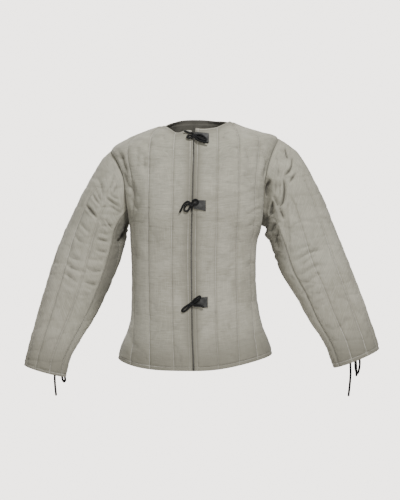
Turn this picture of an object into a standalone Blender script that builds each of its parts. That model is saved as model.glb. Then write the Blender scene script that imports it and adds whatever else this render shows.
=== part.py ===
"""A quilted arming jacket in the shape it has when worn, with nothing inside it.

The jacket hangs from the wearer's shoulders. The origin is the middle of the neck opening at the
height of the shoulders, the front faces -Y, and the wearer's right side is at -X.
Lengths in the tables are millimetres, and every function works in metres.
"""

import math
from collections import namedtuple

import bmesh
import bpy
import numpy as np

MM = 0.001

# The padded wall: two canvas layers with wadding, sewn together along the quilted lines.
WALL = 8.0 * MM
PUFF = 4.2 * MM
SEAM_GAP = 0.3 * MM
# Distances of the quilted lines from the middle of the front or back, and one past the side.
QUILT_LINES = {
    (-1, "front"): (53.0, 121.0, 186.0, 248.0),
    (1, "front"): (66.0, 127.0, 188.0, 248.0),
    (-1, "back"): (62.0, 124.0, 186.0, 246.0),
    (1, "back"): (62.0, 124.0, 186.0, 246.0),
}
COLUMNS_PER_CHANNEL = 3
# Where a row is short, the columns past this share of it close up towards its end.
KNEE = 0.75

# Steps in which a row is measured, and rows of the mesh between the named rings.
ANGLE_STEPS = 81
ROWS_BELOW_ARM = 13
ROWS_AT_SHOULDER = 6
SLEEVE_ROWS = 19

# Rings round the body from hem to neckline. front, right, left and back are the heights where the
# ring crosses the middle of the front, the two sides and the middle of the back. middle is how far
# the front opening lies to the left, to_right and to_left are the distances of the sides from the
# centre, and the depths are half sizes. square shapes the section, and the rises say how late
# the ring climbs to each side.
Ring = namedtuple(
    "Ring",
    "front right left back middle to_right to_left front_deep back_deep square rise_right rise_left",
)
BODY_RINGS = (
    Ring(-657, -638, -626, -655, 1, 211, 220, 152, 142, 2.10, 6.0, 2.6),  # hem
    Ring(-620, -602, -590, -617, 0, 201, 209, 149, 136, 2.10, 5.0, 2.4),
    Ring(-581, -566, -555, -578, -2, 185, 194, 143, 126, 2.15, 4.0, 2.2),  # hip
    Ring(-534, -522, -512, -532, -3, 174, 183, 134, 113, 2.20, 3.0, 2.0),
    Ring(-464, -455, -449, -463, -4, 172, 175, 125, 103, 2.25, 2.0, 2.0),  # waist
    Ring(-394, -389, -385, -393, -5, 172, 174, 125, 104, 2.30, 2.0, 2.0),
    Ring(-325, -323, -321, -324, -5, 175, 177, 130, 112, 2.35, 2.0, 2.0),
    Ring(-271, -271, -271, -271, -4, 178, 191, 135, 120, 2.40, 2.0, 2.0),  # underarm
    Ring(-235, -230, -223, -232, -3, 187, 202, 137, 125, 2.40, 2.0, 2.0),
    Ring(-198, -188, -175, -193, -2, 199, 209, 135, 127, 2.35, 2.0, 2.0),
    Ring(-161, -147, -127, -152, -1, 208, 220, 130, 124, 2.30, 2.0, 2.0),
    Ring(-123, -105, -79, -110, 0, 220, 229, 122, 117, 2.25, 2.0, 2.0),
    Ring(-85, -65, -31, -62, 1, 228, 234, 113, 106, 2.20, 2.0, 2.0),  # shoulder point
    Ring(-65, -35, -15, -30, 1, 186, 190, 105, 96, 2.15, 2.2, 2.2),
    Ring(-40, -11, 0, 0, 1, 132, 143, 96, 86, 2.10, 2.6, 2.6),
    Ring(-14, 6, 14, 27, 1, 82, 98, 88, 78, 2.05, 3.4, 3.4),  # neckline
)
UNDERARM = 7
SHOULDER = 12
NECK = 15

# How far the armhole reaches forward and back of the side, in degrees round the body.
ARMHOLE_FRONT = 18.0
ARMHOLE_BACK = 19.0
ARMHOLE_ROUNDING = 0.6
# Heights of the rows along the armhole, as shares of the way from underarm to shoulder.
ARMHOLE_ROWS = (0, 0.015, 0.045, 0.09, 0.14, 0.20, 0.26, 0.33, 0.41, 0.49, 0.58, 0.68, 0.79, 0.90, 1)
ROWS_AT_ARM = len(ARMHOLE_ROWS) - 1

# Half the gap between the two front edges, by ring.
FrontGap = namedtuple("FrontGap", "ring half_gap")
FRONT_GAPS = (FrontGap(0, 2.6), FrontGap(1.5, 1.7), FrontGap(13.5, 1.6), FrontGap(NECK, 5.0))
# The corner of each front at the neck is rounded down by this much.
CORNER_DROP = 5.0 * MM

# Sleeve rings from armhole to cuff. out and in are the section's two ends in the front view;
# middle is its centre forwards or back, deep its half depth, twist how far the cloth turns.
SleeveRing = namedtuple("SleeveRing", "out_x out_z in_x in_z middle deep twist")
RIGHT_SLEEVE = (
    SleeveRing(-228, -65, -178, -271, 3, 62, 0),  # armhole
    SleeveRing(-259, -100, -179, -285, 3, 67, 3),
    SleeveRing(-290, -150, -182, -302, 2, 70, 7),
    SleeveRing(-322, -213, -186, -319, 0, 70, 10),
    SleeveRing(-361, -299, -191, -341, -3, 66, 14),
    SleeveRing(-390, -382, -222, -424, -9, 61, 19),  # elbow
    SleeveRing(-417, -474, -264, -514, -18, 55, 23),
    SleeveRing(-439, -556, -308, -588, -30, 48, 26),
    SleeveRing(-453, -611, -335, -639, -38, 43, 28),
    SleeveRing(-463, -653, -343, -686, -43, 41, 29),  # cuff
)
LEFT_SLEEVE = (
    SleeveRing(234, -31, 191, -271, 3, 62, 0),  # armhole
    SleeveRing(278, -60, 194, -280, 3, 67, 3),
    SleeveRing(310, -100, 197, -288, 3, 70, 6),
    SleeveRing(337, -150, 201, -298, 2, 71, 9),
    SleeveRing(363, -206, 206, -310, 0, 70, 12),
    SleeveRing(387, -266, 213, -330, -3, 67, 14),
    SleeveRing(416, -340, 239, -403, -9, 62, 17),  # elbow
    SleeveRing(443, -413, 281, -469, -17, 57, 20),
    SleeveRing(467, -479, 314, -532, -26, 52, 23),
    SleeveRing(491, -553, 357, -600, -36, 46, 26),
    SleeveRing(508, -609, 379, -662, -43, 44, 28),  # cuff
)
# Columns round a sleeve run from the top over the front of the arm. The top sleeve wraps from the
# back seam over the arm to the front seam, and the under sleeve closes it below.
SLEEVE_COLUMNS = 2 * ROWS_AT_ARM
FRONT_SEAM = 9
BACK_SEAM = SLEEVE_COLUMNS - FRONT_SEAM
SLEEVE_LINES = (0, 3, 6, FRONT_SEAM, 12, 16, BACK_SEAM, 22, 25)
# The armhole's own shape fades into the plain section over this many rings.
ARMHOLE_BLEND = 2.5

# The right arm's vent: where each row of the under sleeve starts, until it meets the front seam.
VentRow = namedtuple("VentRow", "column ring")
RIGHT_VENT = (
    VentRow(15.5, 0),
    VentRow(15, 0.6),
    VentRow(14.5, 1.2),
    VentRow(14, 1.8),
    VentRow(13.3, 2.4),
    VentRow(12.4, 3.0),
    VentRow(11, 3.4),
)
# Below the vent the cloth sags this many rings, over this many rows.
VENT_SAG = 0.45
SAG_ROWS = 5
# The left arm's vent is a slit: the ring where the sleeve starts, by columns from the top.
Slit = namedtuple("Slit", "column ring")
LEFT_SLIT = (Slit(4, 0), Slit(5, 0.15), Slit(6, 0.25), Slit(7, 0.2), Slit(9, 0.1), Slit(14, 0.5))

# About how far apart the rings and a sleeve's columns are, for the breadth of the folds.
BODY_RING = 52.0 * MM
SLEEVE_RING = 60.0 * MM
SLEEVE_COLUMN = 18.0 * MM

# The largest folds: a trough from one place to another, with its breadth and depth.
# A body fold is placed by distance from the middle edge and by ring, a sleeve fold by column and ring.
Fold = namedtuple("Fold", "piece across_1 ring_1 across_2 ring_2 breadth depth")
BODY_FOLDS = (
    Fold("front_right", 176, 11.6, 158, 7.6, 15, 6),
    Fold("front_right", 128, 12.6, 142, 8.6, 14, 5),
    Fold("front_right", 205, 8.6, 182, 4.6, 18, 6),
    Fold("front_left", 96, 13.6, 128, 10.0, 13, 5),
    Fold("front_left", 160, 12.6, 186, 9.6, 14, 5),
    Fold("front_left", 200, 8.2, 150, 6.4, 15, 5),
    Fold("front_left", 175, 5.6, 120, 4.8, 15, 4),
    Fold("back_right", 186, 11.0, 150, 7.6, 17, 6),
    Fold("back_right", 205, 7.0, 150, 5.2, 17, 5),
    Fold("back_left", 190, 11.2, 152, 8.0, 17, 6),
    Fold("back_left", 210, 6.8, 160, 5.0, 17, 5),
)
SLEEVE_FOLDS = (
    Fold("sleeve_right", 2.0, 2.4, 7.6, 3.9, 13, 6),
    Fold("sleeve_right", 3.4, 1.4, 7.0, 2.6, 11, 5),
    Fold("sleeve_right", 1.6, 4.5, 8.2, 4.8, 13, 6),
    Fold("sleeve_right", 2.4, 5.5, 8.8, 5.1, 12, 5),
    Fold("sleeve_right", 14.6, 4.0, 20.0, 5.0, 14, 6),
    Fold("sleeve_right", 15.2, 5.2, 20.4, 5.6, 13, 5),
    Fold("sleeve_left", 3.6, 1.2, 6.2, 4.8, 13, 10),
    Fold("sleeve_left", 5.0, 3.2, 8.6, 5.0, 12, 8),
    Fold("sleeve_left", 6.4, 5.0, 9.6, 5.6, 11, 6),
    Fold("sleeve_left", 2.6, 6.6, 8.6, 7.2, 13, 5),
    Fold("sleeve_left", 4.4, 7.8, 9.2, 7.5, 12, 5),
    Fold("sleeve_left", 14.6, 4.6, 20.0, 5.6, 14, 6),
    Fold("sleeve_left", 15.2, 6.2, 20.4, 6.6, 13, 5),
)

# Three leather tabs on the left front edge, each with a lace tied in a bow across the opening.
TAB_THICK = 2.2 * MM
TAB_CLEAR = 0.4 * MM
# TAB_REACH is how far round each of its places a tab stays clear of the cloth.
TAB_REACH = (3.5 * MM, 0.8 * MM)
# The pull of its lace turns each tab a little, so its outer end is lower or taller than the inner.
Tab = namedtuple("Tab", "inner outer inner_top inner_bottom outer_top outer_bottom")
TABS = (
    Tab(4.5, 42, -24, -47, -28, -54),
    Tab(1.5, 33.5, -209, -232, -210, -238.5),
    Tab(1.0, 38.5, -468, -490, -463.5, -492.5),
)

LACE = 3.6 * MM
LACE_SIDES = 2
LACE_STEP = 6.0 * MM
KNOT_HALF = (5.2 * MM, 3.6 * MM, 4.8 * MM)

# Each bow's foot is on the cloth of the front edge. Places in its routes are across, out from the
# cloth and up, from the foot; recline is how much the cloth falls back for each step up.
Bow = namedtuple("Bow", "x y z recline knot_out")
BOWS = (
    Bow(3, -90, -36, 0.45, 8.4),
    Bow(-4, -130.3, -222, 0.02, 7.6),
    Bow(-4, -121.2, -482, -0.12, 7.6),
)
BOW_ROUTES = {
    "lace_1_loop_left": (
        (-5.4, 7.6, 0.2), (-10, 7.0, 0.8), (-16, 7.4, 0.6), (-19.4, 7.8, -2.4),
        (-17, 7.8, -5.8), (-11, 7.0, -6.2), (-5.2, 7.2, -4.8),
    ),
    "lace_1_loop_right": (
        (5.6, 9.6, 2.2), (12, 10.6, 3), (21, 12, 0), (29, 12.4, -6.6), (31.4, 12, -11.4),
        (28, 11.8, -13.6), (20, 11.4, -11), (12, 10.4, -6.6), (6.2, 9.4, -2.4),
    ),
    "lace_1_end_left": ((-2.8, 7.9, 4.7), (-7, 6.6, 8.2), (-14, 7, 8.4), (-21, 7.6, 11.6), (-28, 8, 13)),
    "lace_1_end_right": (
        (2.1, 8.7, -4.7), (9.4, 9.4, -12), (19, 10.8, -15.8), (28, 11.4, -18.6), (37, 12, -20.6),
    ),
    "lace_2_loop_left": (
        (-5.6, 7.6, 1.2), (-12, 7.8, 0.6), (-17.4, 8.6, -5), (-19.4, 8.8, -12),
        (-15, 8.6, -17), (-8.4, 7.8, -13.4), (-4.4, 7.2, -5.2),
    ),
    "lace_2_loop_right": (
        (1, 7.8, 5.5), (4, 8.8, 11), (10.4, 9.8, 13.8), (16, 10.4, 10.6), (17, 10.4, 5), (12.8, 9.8, 1.4),
        (6, 8.4, 1.2),
    ),
    "lace_2_end_left": (
        (-3.6, 7.6, 4.7), (-10, 8.2, 8.4), (-18, 8.6, 4), (-23.6, 9.3, -4), (-27, 9.6, -12),
        (-32, 9.6, -20.4),
    ),
    "lace_2_end_low": ((1.4, 7, -5.4), (0.6, 6.4, -10), (-0.6, 6, -15)),
    "lace_3_loop_left": (
        (-5.6, 8, -1.2), (-12, 9.6, -5), (-21.4, 11.8, -11.6), (-25.6, 12.4, -17.6), (-22.2, 12.4, -20.6),
        (-16, 11.6, -17.4), (-8.6, 10, -10.6), (-3.6, 8.2, -5.4),
    ),
    "lace_3_loop_right": (
        (2.6, 8.4, 5.4), (8, 9.6, 11.4), (16.6, 12, 18), (21.6, 12.8, 20), (22.6, 12.8, 16),
        (17, 11.6, 9.8), (10.6, 10, 4.8), (5.6, 9, 1.6),
    ),
    "lace_3_end_right": ((5.8, 8.8, -3), (12, 11.6, -2), (20, 13.2, -2.6), (27, 13.6, -6), (32, 13.6, -9.4)),
}

# The laces tied at the back of the cuffs. Places are from the knot, across, back and up.
CuffKnot = namedtuple("CuffKnot", "x y z")
CUFF_KNOTS = {"right": CuffKnot(-378, 2.6, -652), "left": CuffKnot(446, 4.3, -612)}
CUFF_ROUTES = {
    "cuff_lace_right_loop": (
        (2.8, 0, -5), (8, 1, -14), (12, 1.4, -30), (14.6, 1.4, -47), (19, 1.4, -54), (22, 1.4, -48),
        (18.6, 1.4, -30), (12, 1, -12), (6, 0, -2),
    ),
    "cuff_lace_right_end": ((-3, 0, -5), (-5.6, 1, -16), (-7, 1.4, -40), (-6, 1.4, -64), (-3, 1.4, -93)),
    "cuff_lace_left_loop": (
        (-1, 0, -5.4), (2, 1, -16), (3, 1.4, -34), (3.4, 1.4, -56), (8, 1.4, -72), (13, 1.4, -62),
        (15.6, 1.4, -42), (13, 1.4, -20), (5, 0, -3),
    ),
    "cuff_lace_left_end": (
        (-4.6, 0, -3.6), (-9, 1, -16), (-10.6, 1.4, -40), (-10, 1.4, -70), (-12, 1.4, -100),
        (-16, 1.4, -135),
    ),
    "cuff_lace_left_end_short": ((1, 4.6, -4), (3, 6, -20), (6, 6.4, -44), (7, 6.4, -80)),
}

CANVAS = ("canvas", (0.36, 0.35, 0.31), 0.92)
LEATHER = ("leather", (0.075, 0.073, 0.070), 0.62)
CORD = ("lace", (0.012, 0.012, 0.013), 0.70)


def smoothstep(t):
    t = np.clip(t, 0.0, 1.0)
    return t * t * (3.0 - 2.0 * t)


def between(table, at):
    """A table's columns at fractional rows, on a smooth curve through the rows."""
    rows = np.asarray(table, float)
    last = len(rows) - 1
    at = np.clip(np.asarray(at, float), 0.0, last)
    low = np.minimum(np.floor(at).astype(int), last - 1)
    t = (at - low)[..., None]
    before, start = rows[np.maximum(low - 1, 0)], rows[low]
    end, after = rows[low + 1], rows[np.minimum(low + 2, last)]
    slope_1, slope_2 = (end - before) / 2.0, (after - start) / 2.0
    return (
        start * (2 * t**3 - 3 * t**2 + 1)
        + slope_1 * (t**3 - 2 * t**2 + t)
        + end * (3 * t**2 - 2 * t**3)
        + slope_2 * (t**3 - t**2)
    )


def body_point(side, ring, angle):
    """Points on the jacket's body; angle runs from 0 in the middle of the front to pi at the back."""
    ring, angle = np.broadcast_arrays(np.asarray(ring, float), np.asarray(angle, float))
    row = Ring(*np.moveaxis(between(BODY_RINGS, ring), -1, 0))
    sine, cosine = np.maximum(np.sin(angle), 0.0), np.cos(angle)
    front = cosine > 0.0
    wide = (row.to_right if side < 0 else row.to_left) - side * row.middle
    deep = np.where(front, row.front_deep, row.back_deep)
    end_z = np.where(front, row.front, row.back)
    side_z = row.right if side < 0 else row.left
    reach = ((sine / wide) ** row.square + (np.abs(cosine) / deep) ** row.square) ** (-1.0 / row.square)
    rise = row.rise_right if side < 0 else row.rise_left
    height = end_z + (side_z - end_z) * sine**rise
    return np.stack([row.middle + side * reach * sine, -reach * cosine, height], axis=-1) * MM


def unit(vectors):
    return vectors / np.maximum(np.linalg.norm(vectors, axis=-1, keepdims=True), 1e-12)


def body_normal(side, ring, angle):
    """Outward directions of the body at the same places as body_point."""
    step_ring, step_angle = 0.02, 0.01
    ring = np.asarray(ring, float)
    angle = np.clip(np.asarray(angle, float), step_angle, math.pi - step_angle)
    up = body_point(side, np.minimum(ring + step_ring, NECK), angle)
    up = up - body_point(side, np.maximum(ring - step_ring, 0.0), angle)
    round_it = body_point(side, ring, angle + step_angle) - body_point(side, ring, angle - step_angle)
    return unit(np.cross(round_it, up) * side)


def edge_angle(ring, half):
    """How far a front or back reaches round the body on a ring: to the side, or to the armhole."""
    share = np.clip((np.asarray(ring, float) - UNDERARM) / (SHOULDER - UNDERARM), 0.0, 1.0)
    opened = ARMHOLE_FRONT if half == "front" else ARMHOLE_BACK
    return math.radians(90.0) - math.radians(opened) * np.sin(math.pi * share) ** ARMHOLE_ROUNDING


def columns_on(reach, start, lines):
    """Distances of the columns from the middle edge on a row that is reach long."""
    lines = np.array([0.0, *lines]) * MM
    ideal = np.interp(
        np.arange(COLUMNS_PER_CHANNEL * (len(lines) - 1) + 1),
        COLUMNS_PER_CHANNEL * np.arange(len(lines)),
        lines,
    )
    knee = KNEE * reach if reach < lines[-1] else max(lines[-2], KNEE * reach)
    past = ideal > knee
    ideal[past] = knee + (ideal[past] - knee) * (reach - knee) / (lines[-1] - knee)
    ideal[0] = start
    return ideal


def body_rows():
    """Ring numbers of the mesh rows, close together where the armhole turns."""
    below = np.linspace(0, UNDERARM, ROWS_BELOW_ARM + 1)
    beside = UNDERARM + (SHOULDER - UNDERARM) * np.array(ARMHOLE_ROWS[1:])
    above = np.linspace(SHOULDER, NECK, ROWS_AT_SHOULDER + 1)[1:]
    return np.concatenate([below, beside, above])


def front_gap(ring):
    rings, gaps = zip(*FRONT_GAPS)
    return np.interp(ring, rings, gaps) * MM


def body_grid(side, half):
    """Points, outward directions and the distance from the middle edge, row by row."""
    places, normals, across = [], [], []
    for ring in body_rows():
        turn = np.linspace(0.0, edge_angle(ring, half), ANGLE_STEPS)
        angle = turn if half == "front" else math.pi - turn
        line = body_point(side, ring, angle)
        along = np.concatenate([[0.0], np.cumsum(np.linalg.norm(np.diff(line, axis=0), axis=1))])
        start = front_gap(ring) if half == "front" else 0.0
        columns = columns_on(along[-1], start, QUILT_LINES[side, half])
        angle = np.interp(columns, along, angle)
        places.append(body_point(side, ring, angle))
        normals.append(body_normal(side, ring, angle))
        across.append(columns)
    return np.array(places), np.array(normals), np.array(across)


def puffed(shape, lines):
    """1 where a mesh point is on a channel's padding, and 0 on the quilted lines and the end rows."""
    puff = np.ones(shape)
    puff[:, list(lines)] = 0.0
    puff[[0, -1]] = 0.0
    return puff


def fold_depth(folds, piece, across, ring, across_unit, ring_unit):
    """How far the folds of a piece press its cloth in, at places given across it and by ring."""
    depth = np.zeros(np.broadcast(across, ring).shape)
    for fold in folds:
        if fold.piece != piece:
            continue
        first = np.array([fold.across_1 * across_unit, fold.ring_1 * ring_unit])
        along = np.array([fold.across_2 * across_unit, fold.ring_2 * ring_unit]) - first
        far_x, far_y = across * across_unit - first[0], ring * ring_unit - first[1]
        share = (far_x * along[0] + far_y * along[1]) / (along @ along)
        inside = np.clip(share, 0.0, 1.0)
        gap = np.hypot(far_x - inside * along[0], far_y - inside * along[1])
        fade = smoothstep(1.0 - np.abs(2.0 * inside - 1.0) ** 3)
        trough = np.maximum(depth, fold.depth * MM * np.exp(-((gap / (fold.breadth * MM)) ** 2)) * fade)
        depth = np.maximum(depth, trough)
    return depth


def inset(points, rim):
    """Moves the rims named in rim half a seam gap into the piece, so that neighbours don't touch."""
    moved = points.copy()
    sides = {
        "bottom": ((0, slice(None)), (1, slice(None))),
        "top": ((-1, slice(None)), (-2, slice(None))),
        "start": ((slice(None), 0), (slice(None), 1)),
        "end": ((slice(None), -1), (slice(None), -2)),
    }
    for name in rim:
        edge, inner = sides[name]
        along = unit(np.gradient(points[edge], axis=0))
        inward = points[inner] - points[edge]
        inward -= along * (inward * along).sum(axis=1, keepdims=True)
        moved[edge] += unit(inward) * SEAM_GAP / 2.0
    return moved


def make_material(name, colour, roughness):
    material = bpy.data.materials.get(name) or bpy.data.materials.new(name)
    material.use_nodes = True
    shader = material.node_tree.nodes["Principled BSDF"]
    shader.inputs["Base Color"].default_value = (*colour, 1.0)
    shader.inputs["Roughness"].default_value = roughness
    shader.inputs["Metallic"].default_value = 0.0
    return material


def add_object(name, mesh, finish, smooth_angle=40.0):
    mesh.materials.append(make_material(*finish))
    made = bpy.data.objects.new(name, mesh)
    bpy.context.scene.collection.objects.link(made)
    mesh.shade_smooth()
    mesh.set_sharp_from_angle(angle=math.radians(smooth_angle))
    return made


def wall_object(name, outer, inner, finish):
    """A closed wall between two grids of points of the same shape.

    Its rim is split on the shorter diagonals, so that two rims that lie face to face are split alike."""
    rows, columns = outer.shape[:2]
    mesh = bpy.data.meshes.new(name)
    build = bmesh.new()
    skins = [[[build.verts.new(p) for p in row] for row in grid] for grid in (outer, inner)]
    for skin in skins:
        for i in range(rows - 1):
            for j in range(columns - 1):
                build.faces.new((skin[i][j], skin[i][j + 1], skin[i + 1][j + 1], skin[i + 1][j]))
    rim = [(0, j) for j in range(columns)]
    rim += [(i, columns - 1) for i in range(1, rows)]
    rim += [(rows - 1, j) for j in range(columns - 2, -1, -1)]
    rim += [(i, 0) for i in range(rows - 2, 0, -1)]
    for (i, j), (k, m) in zip(rim, rim[1:] + rim[:1]):
        corners = [skins[0][i][j], skins[0][k][m], skins[1][k][m], skins[1][i][j]]
        if (corners[0].co - corners[2].co).length > (corners[1].co - corners[3].co).length:
            corners = corners[1:] + corners[:1]
        build.faces.new(corners[:3])
        build.faces.new((corners[0], corners[2], corners[3]))
    bmesh.ops.recalc_face_normals(build, faces=build.faces)
    build.to_mesh(mesh)
    build.free()
    return add_object(name, mesh, finish)


def armhole(grids, side):
    """The armhole's points and directions by sleeve column, over the front and back under the arm."""
    first = ROWS_BELOW_ARM
    rows = slice(first, first + ROWS_AT_ARM + 1)
    front_places, front_normals, _ = grids[side, "front"]
    back_places, back_normals, _ = grids[side, "back"]
    places = np.concatenate([front_places[rows, -1][::-1], back_places[rows, -1][1:-1]])
    normals = np.concatenate([front_normals[rows, -1][::-1], back_normals[rows, -1][1:-1]])
    return places, normals


def sleeve_section(table, ring, column):
    """Points of a sleeve's plain sections; columns run from the top over the front to the underside."""
    row = SleeveRing(*np.moveaxis(between(table, ring), -1, 0))
    turn = 2.0 * math.pi * column / SLEEVE_COLUMNS + np.radians(row.twist)
    along, around = np.cos(turn), np.sin(turn)
    x = (row.out_x + row.in_x) / 2.0 + (row.out_x - row.in_x) / 2.0 * along
    z = (row.out_z + row.in_z) / 2.0 + (row.out_z - row.in_z) / 2.0 * along
    return np.stack([x, row.middle - row.deep * around, z], axis=-1) * MM


def sleeve_numbers(side, part):
    """Column and ring numbers of the mesh points of a top sleeve or an under sleeve, row by row."""
    last_ring = len(RIGHT_SLEEVE if side < 0 else LEFT_SLEEVE) - 1
    share = np.linspace(0.0, 1.0, SLEEVE_ROWS + 1)[:, None]
    first, last = (BACK_SEAM - SLEEVE_COLUMNS, FRONT_SEAM) if part == "top" else (FRONT_SEAM, BACK_SEAM)
    column = np.tile(np.arange(first, last + 1.0), (len(share), 1))
    if side > 0:
        from_top = np.minimum(np.abs(column), SLEEVE_COLUMNS - np.abs(column))
        start = np.interp(from_top, *zip(*LEFT_SLIT))
        return column, start + (last_ring - start) * share
    ring = last_ring * share * np.ones_like(column)
    if part == "under":
        across = np.linspace(0.0, 1.0, last - first + 1)
        for number, row in enumerate(RIGHT_VENT):
            column[number] = row.column + (last - row.column) * across
            ring[number] = row.ring + (ring[number] - row.ring) * across
        for number in range(SAG_ROWS):
            sag = VENT_SAG * (1.0 - number / SAG_ROWS)
            ring[len(RIGHT_VENT) + number] += sag * np.sin(math.pi * across)
    return column, ring


def sleeve_grid(side, part, loop):
    """Column, ring, points and outward directions of a top sleeve or an under sleeve, row by row.

    The sleeve has the armhole's own shape at ring 0, which fades into the plain sections."""
    table = RIGHT_SLEEVE if side < 0 else LEFT_SLEEVE
    column, ring = sleeve_numbers(side, part)
    number = np.arange(SLEEVE_COLUMNS + 1)
    closed = np.concatenate([loop, loop[:1]])
    off = closed - sleeve_section(table, np.zeros(len(number)), number)
    wrapped = column % SLEEVE_COLUMNS
    off = np.stack([np.interp(wrapped, number, off[:, k]) for k in range(3)], axis=-1)
    fade = 1.0 - smoothstep(ring / ARMHOLE_BLEND)
    places = sleeve_section(table, ring, column) + off * fade[..., None]
    step_ring, step_column = 0.05, 0.25
    down = sleeve_section(table, ring + step_ring, column) - sleeve_section(table, ring - step_ring, column)
    after, before = column + step_column, column - step_column
    round_it = sleeve_section(table, ring, after) - sleeve_section(table, ring, before)
    return column, ring, places, unit(np.cross(round_it, down) * side)


def share_seam(grids, sleeves):
    """Gives the two sides of each armhole seam one direction, so that their edges lie face to face."""
    loops = {side: armhole(grids, side) for side in (-1, 1)}
    number = np.arange(SLEEVE_COLUMNS + 1)
    for (side, part), (column, ring, places, normals) in sleeves.items():
        directions = loops[side][1]
        closed = np.concatenate([directions, directions[:1]])
        for j, at in enumerate(column[0] % SLEEVE_COLUMNS):
            if ring[0, j] > 0.0:
                continue
            direction = np.array([np.interp(at, number, closed[:, k]) for k in range(3)])
            normals[0, j] = unit(direction + normals[0, j])
            if at != round(at):
                continue
            k = int(at)
            if k <= ROWS_AT_ARM:
                grids[side, "front"][1][ROWS_BELOW_ARM + ROWS_AT_ARM - k, -1] = normals[0, j]
            if k == 0 or k >= ROWS_AT_ARM:
                row = ROWS_AT_ARM if k == 0 else k - ROWS_AT_ARM
                grids[side, "back"][1][ROWS_BELOW_ARM + row, -1] = normals[0, j]


def body_panels(grids):
    """The two fronts and two backs. Returns the outer points of each, for what lies on them."""
    outers = {}
    for (side, half), (places, normals, across) in grids.items():
        name = f"{half}_{'right' if side < 0 else 'left'}"
        rows = body_rows()[:, None]
        pressed = fold_depth(BODY_FOLDS, name, across / MM, rows, MM, BODY_RING)
        pressed[:, [0, -1]] = 0.0
        puff = puffed(across.shape, range(0, across.shape[1], COLUMNS_PER_CHANNEL))
        if half == "front":
            places[-1, 0, 2] -= CORNER_DROP
        base = places - normals * pressed[..., None]
        outer = base - normals * (PUFF * (1.0 - puff))[..., None]
        inner = base - normals * WALL
        rim = ["end"] if half == "front" else ["start", "end"]
        skins = [inset(skin, rim) for skin in (outer, inner)]
        for skin in skins:
            shoulder = ROWS_BELOW_ARM + ROWS_AT_ARM
            skin[shoulder, -1] += unit(skin[shoulder + 1, -1] - skin[shoulder, -1]) * SEAM_GAP / 2.0
        outers[name] = skins[0]
        wall_object(name, *skins, CANVAS)
    return outers


def sleeve_panels(sleeves):
    for (side, part), (column, ring, places, normals) in sleeves.items():
        name = f"sleeve_{'right' if side < 0 else 'left'}"
        wrapped = column % SLEEVE_COLUMNS
        pressed = fold_depth(SLEEVE_FOLDS, name, wrapped, ring, SLEEVE_COLUMN, SLEEVE_RING)
        pressed[0] = 0.0
        lines = [j for j, number in enumerate(wrapped[-1]) if number in SLEEVE_LINES]
        puff = puffed(ring.shape, lines)
        base = places - normals * pressed[..., None]
        outer = base - normals * (PUFF * (1.0 - puff))[..., None]
        inner = base - normals * WALL
        rim = ["bottom", "start", "end"]
        wall_object(f"{name}_{part}", inset(outer, rim), inset(inner, rim), CANVAS)


def front_cloth(outers, x, z, reach_x, reach_z):
    """The Y of the foremost cloth of the fronts within reach of a place in the front view."""
    corners = []
    for name in ("front_right", "front_left"):
        grid = outers[name]
        quad = [part.reshape(-1, 3) for part in (grid[:-1, :-1], grid[:-1, 1:], grid[1:, 1:], grid[1:, :-1])]
        corners += [quad[:3], [quad[0], quad[2], quad[3]]]
    a, b, c = (np.concatenate(places) for places in zip(*corners))
    ab, ac = b - a, c - a
    area = ab[:, 0] * ac[:, 2] - ab[:, 2] * ac[:, 0]
    foremost = 0.0
    for dx in (-reach_x, 0.0, reach_x):
        for dz in (-reach_z, 0.0, reach_z):
            to_x, to_z = x + dx - a[:, 0], z + dz - a[:, 2]
            u = (to_x * ac[:, 2] - to_z * ac[:, 0]) / area
            v = (ab[:, 0] * to_z - ab[:, 2] * to_x) / area
            hit = (u >= 0.0) & (v >= 0.0) & (u + v <= 1.0)
            foremost = min([foremost, *(a[:, 1] + u * ab[:, 1] + v * ac[:, 1])[hit]])
    return foremost


def make_tab(number, tab, outers):
    """A leather tab on the left front edge, bent to the cloth under it."""
    across, up = np.meshgrid(np.linspace(0.0, 1.0, 7), np.linspace(0.0, 1.0, 5))
    low = tab.inner_bottom + (tab.outer_bottom - tab.inner_bottom) * across
    high = tab.inner_top + (tab.outer_top - tab.inner_top) * across
    x = (tab.inner + (tab.outer - tab.inner) * across) * MM
    z = (low + (high - low) * up) * MM
    cloth = np.array([[front_cloth(outers, *place, *TAB_REACH) for place in zip(*row)] for row in zip(x, z)])
    under = np.stack([x, cloth - TAB_CLEAR, z], axis=-1)
    wall_object(f"tab_{number}", under - np.array([0.0, TAB_THICK, 0.0]), under, LEATHER)


def spaced(points, step):
    """The points of a smooth curve through the given ones, about step apart."""
    fine = between(points, np.linspace(0, len(points) - 1, 40 * (len(points) - 1) + 1))
    along = np.concatenate([[0.0], np.cumsum(np.linalg.norm(np.diff(fine, axis=0), axis=1))])
    at = np.linspace(0.0, along[-1], max(3, round(along[-1] / step) + 1))
    return np.stack([np.interp(at, along, fine[:, k]) for k in range(3)], axis=-1)


def make_lace(name, points):
    curve = bpy.data.curves.new(name, "CURVE")
    curve.dimensions = "3D"
    curve.bevel_depth = LACE / 2.0
    curve.bevel_resolution = LACE_SIDES
    curve.use_fill_caps = True
    spline = curve.splines.new("POLY")
    route = spaced(points, LACE_STEP)
    spline.points.add(len(route) - 1)
    for point, place in zip(spline.points, route):
        point.co = (*place, 1.0)
    curve.materials.append(make_material(*CORD))
    made = bpy.data.objects.new(name, curve)
    bpy.context.scene.collection.objects.link(made)


def make_knot(name, centre):
    mesh = bpy.data.meshes.new(name)
    build = bmesh.new()
    bmesh.ops.create_uvsphere(build, u_segments=12, v_segments=8, radius=1.0)
    for corner in build.verts:
        corner.co = [middle + half * c for middle, half, c in zip(centre, KNOT_HALF, corner.co)]
    build.to_mesh(mesh)
    build.free()
    add_object(name, mesh, CORD)


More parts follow.
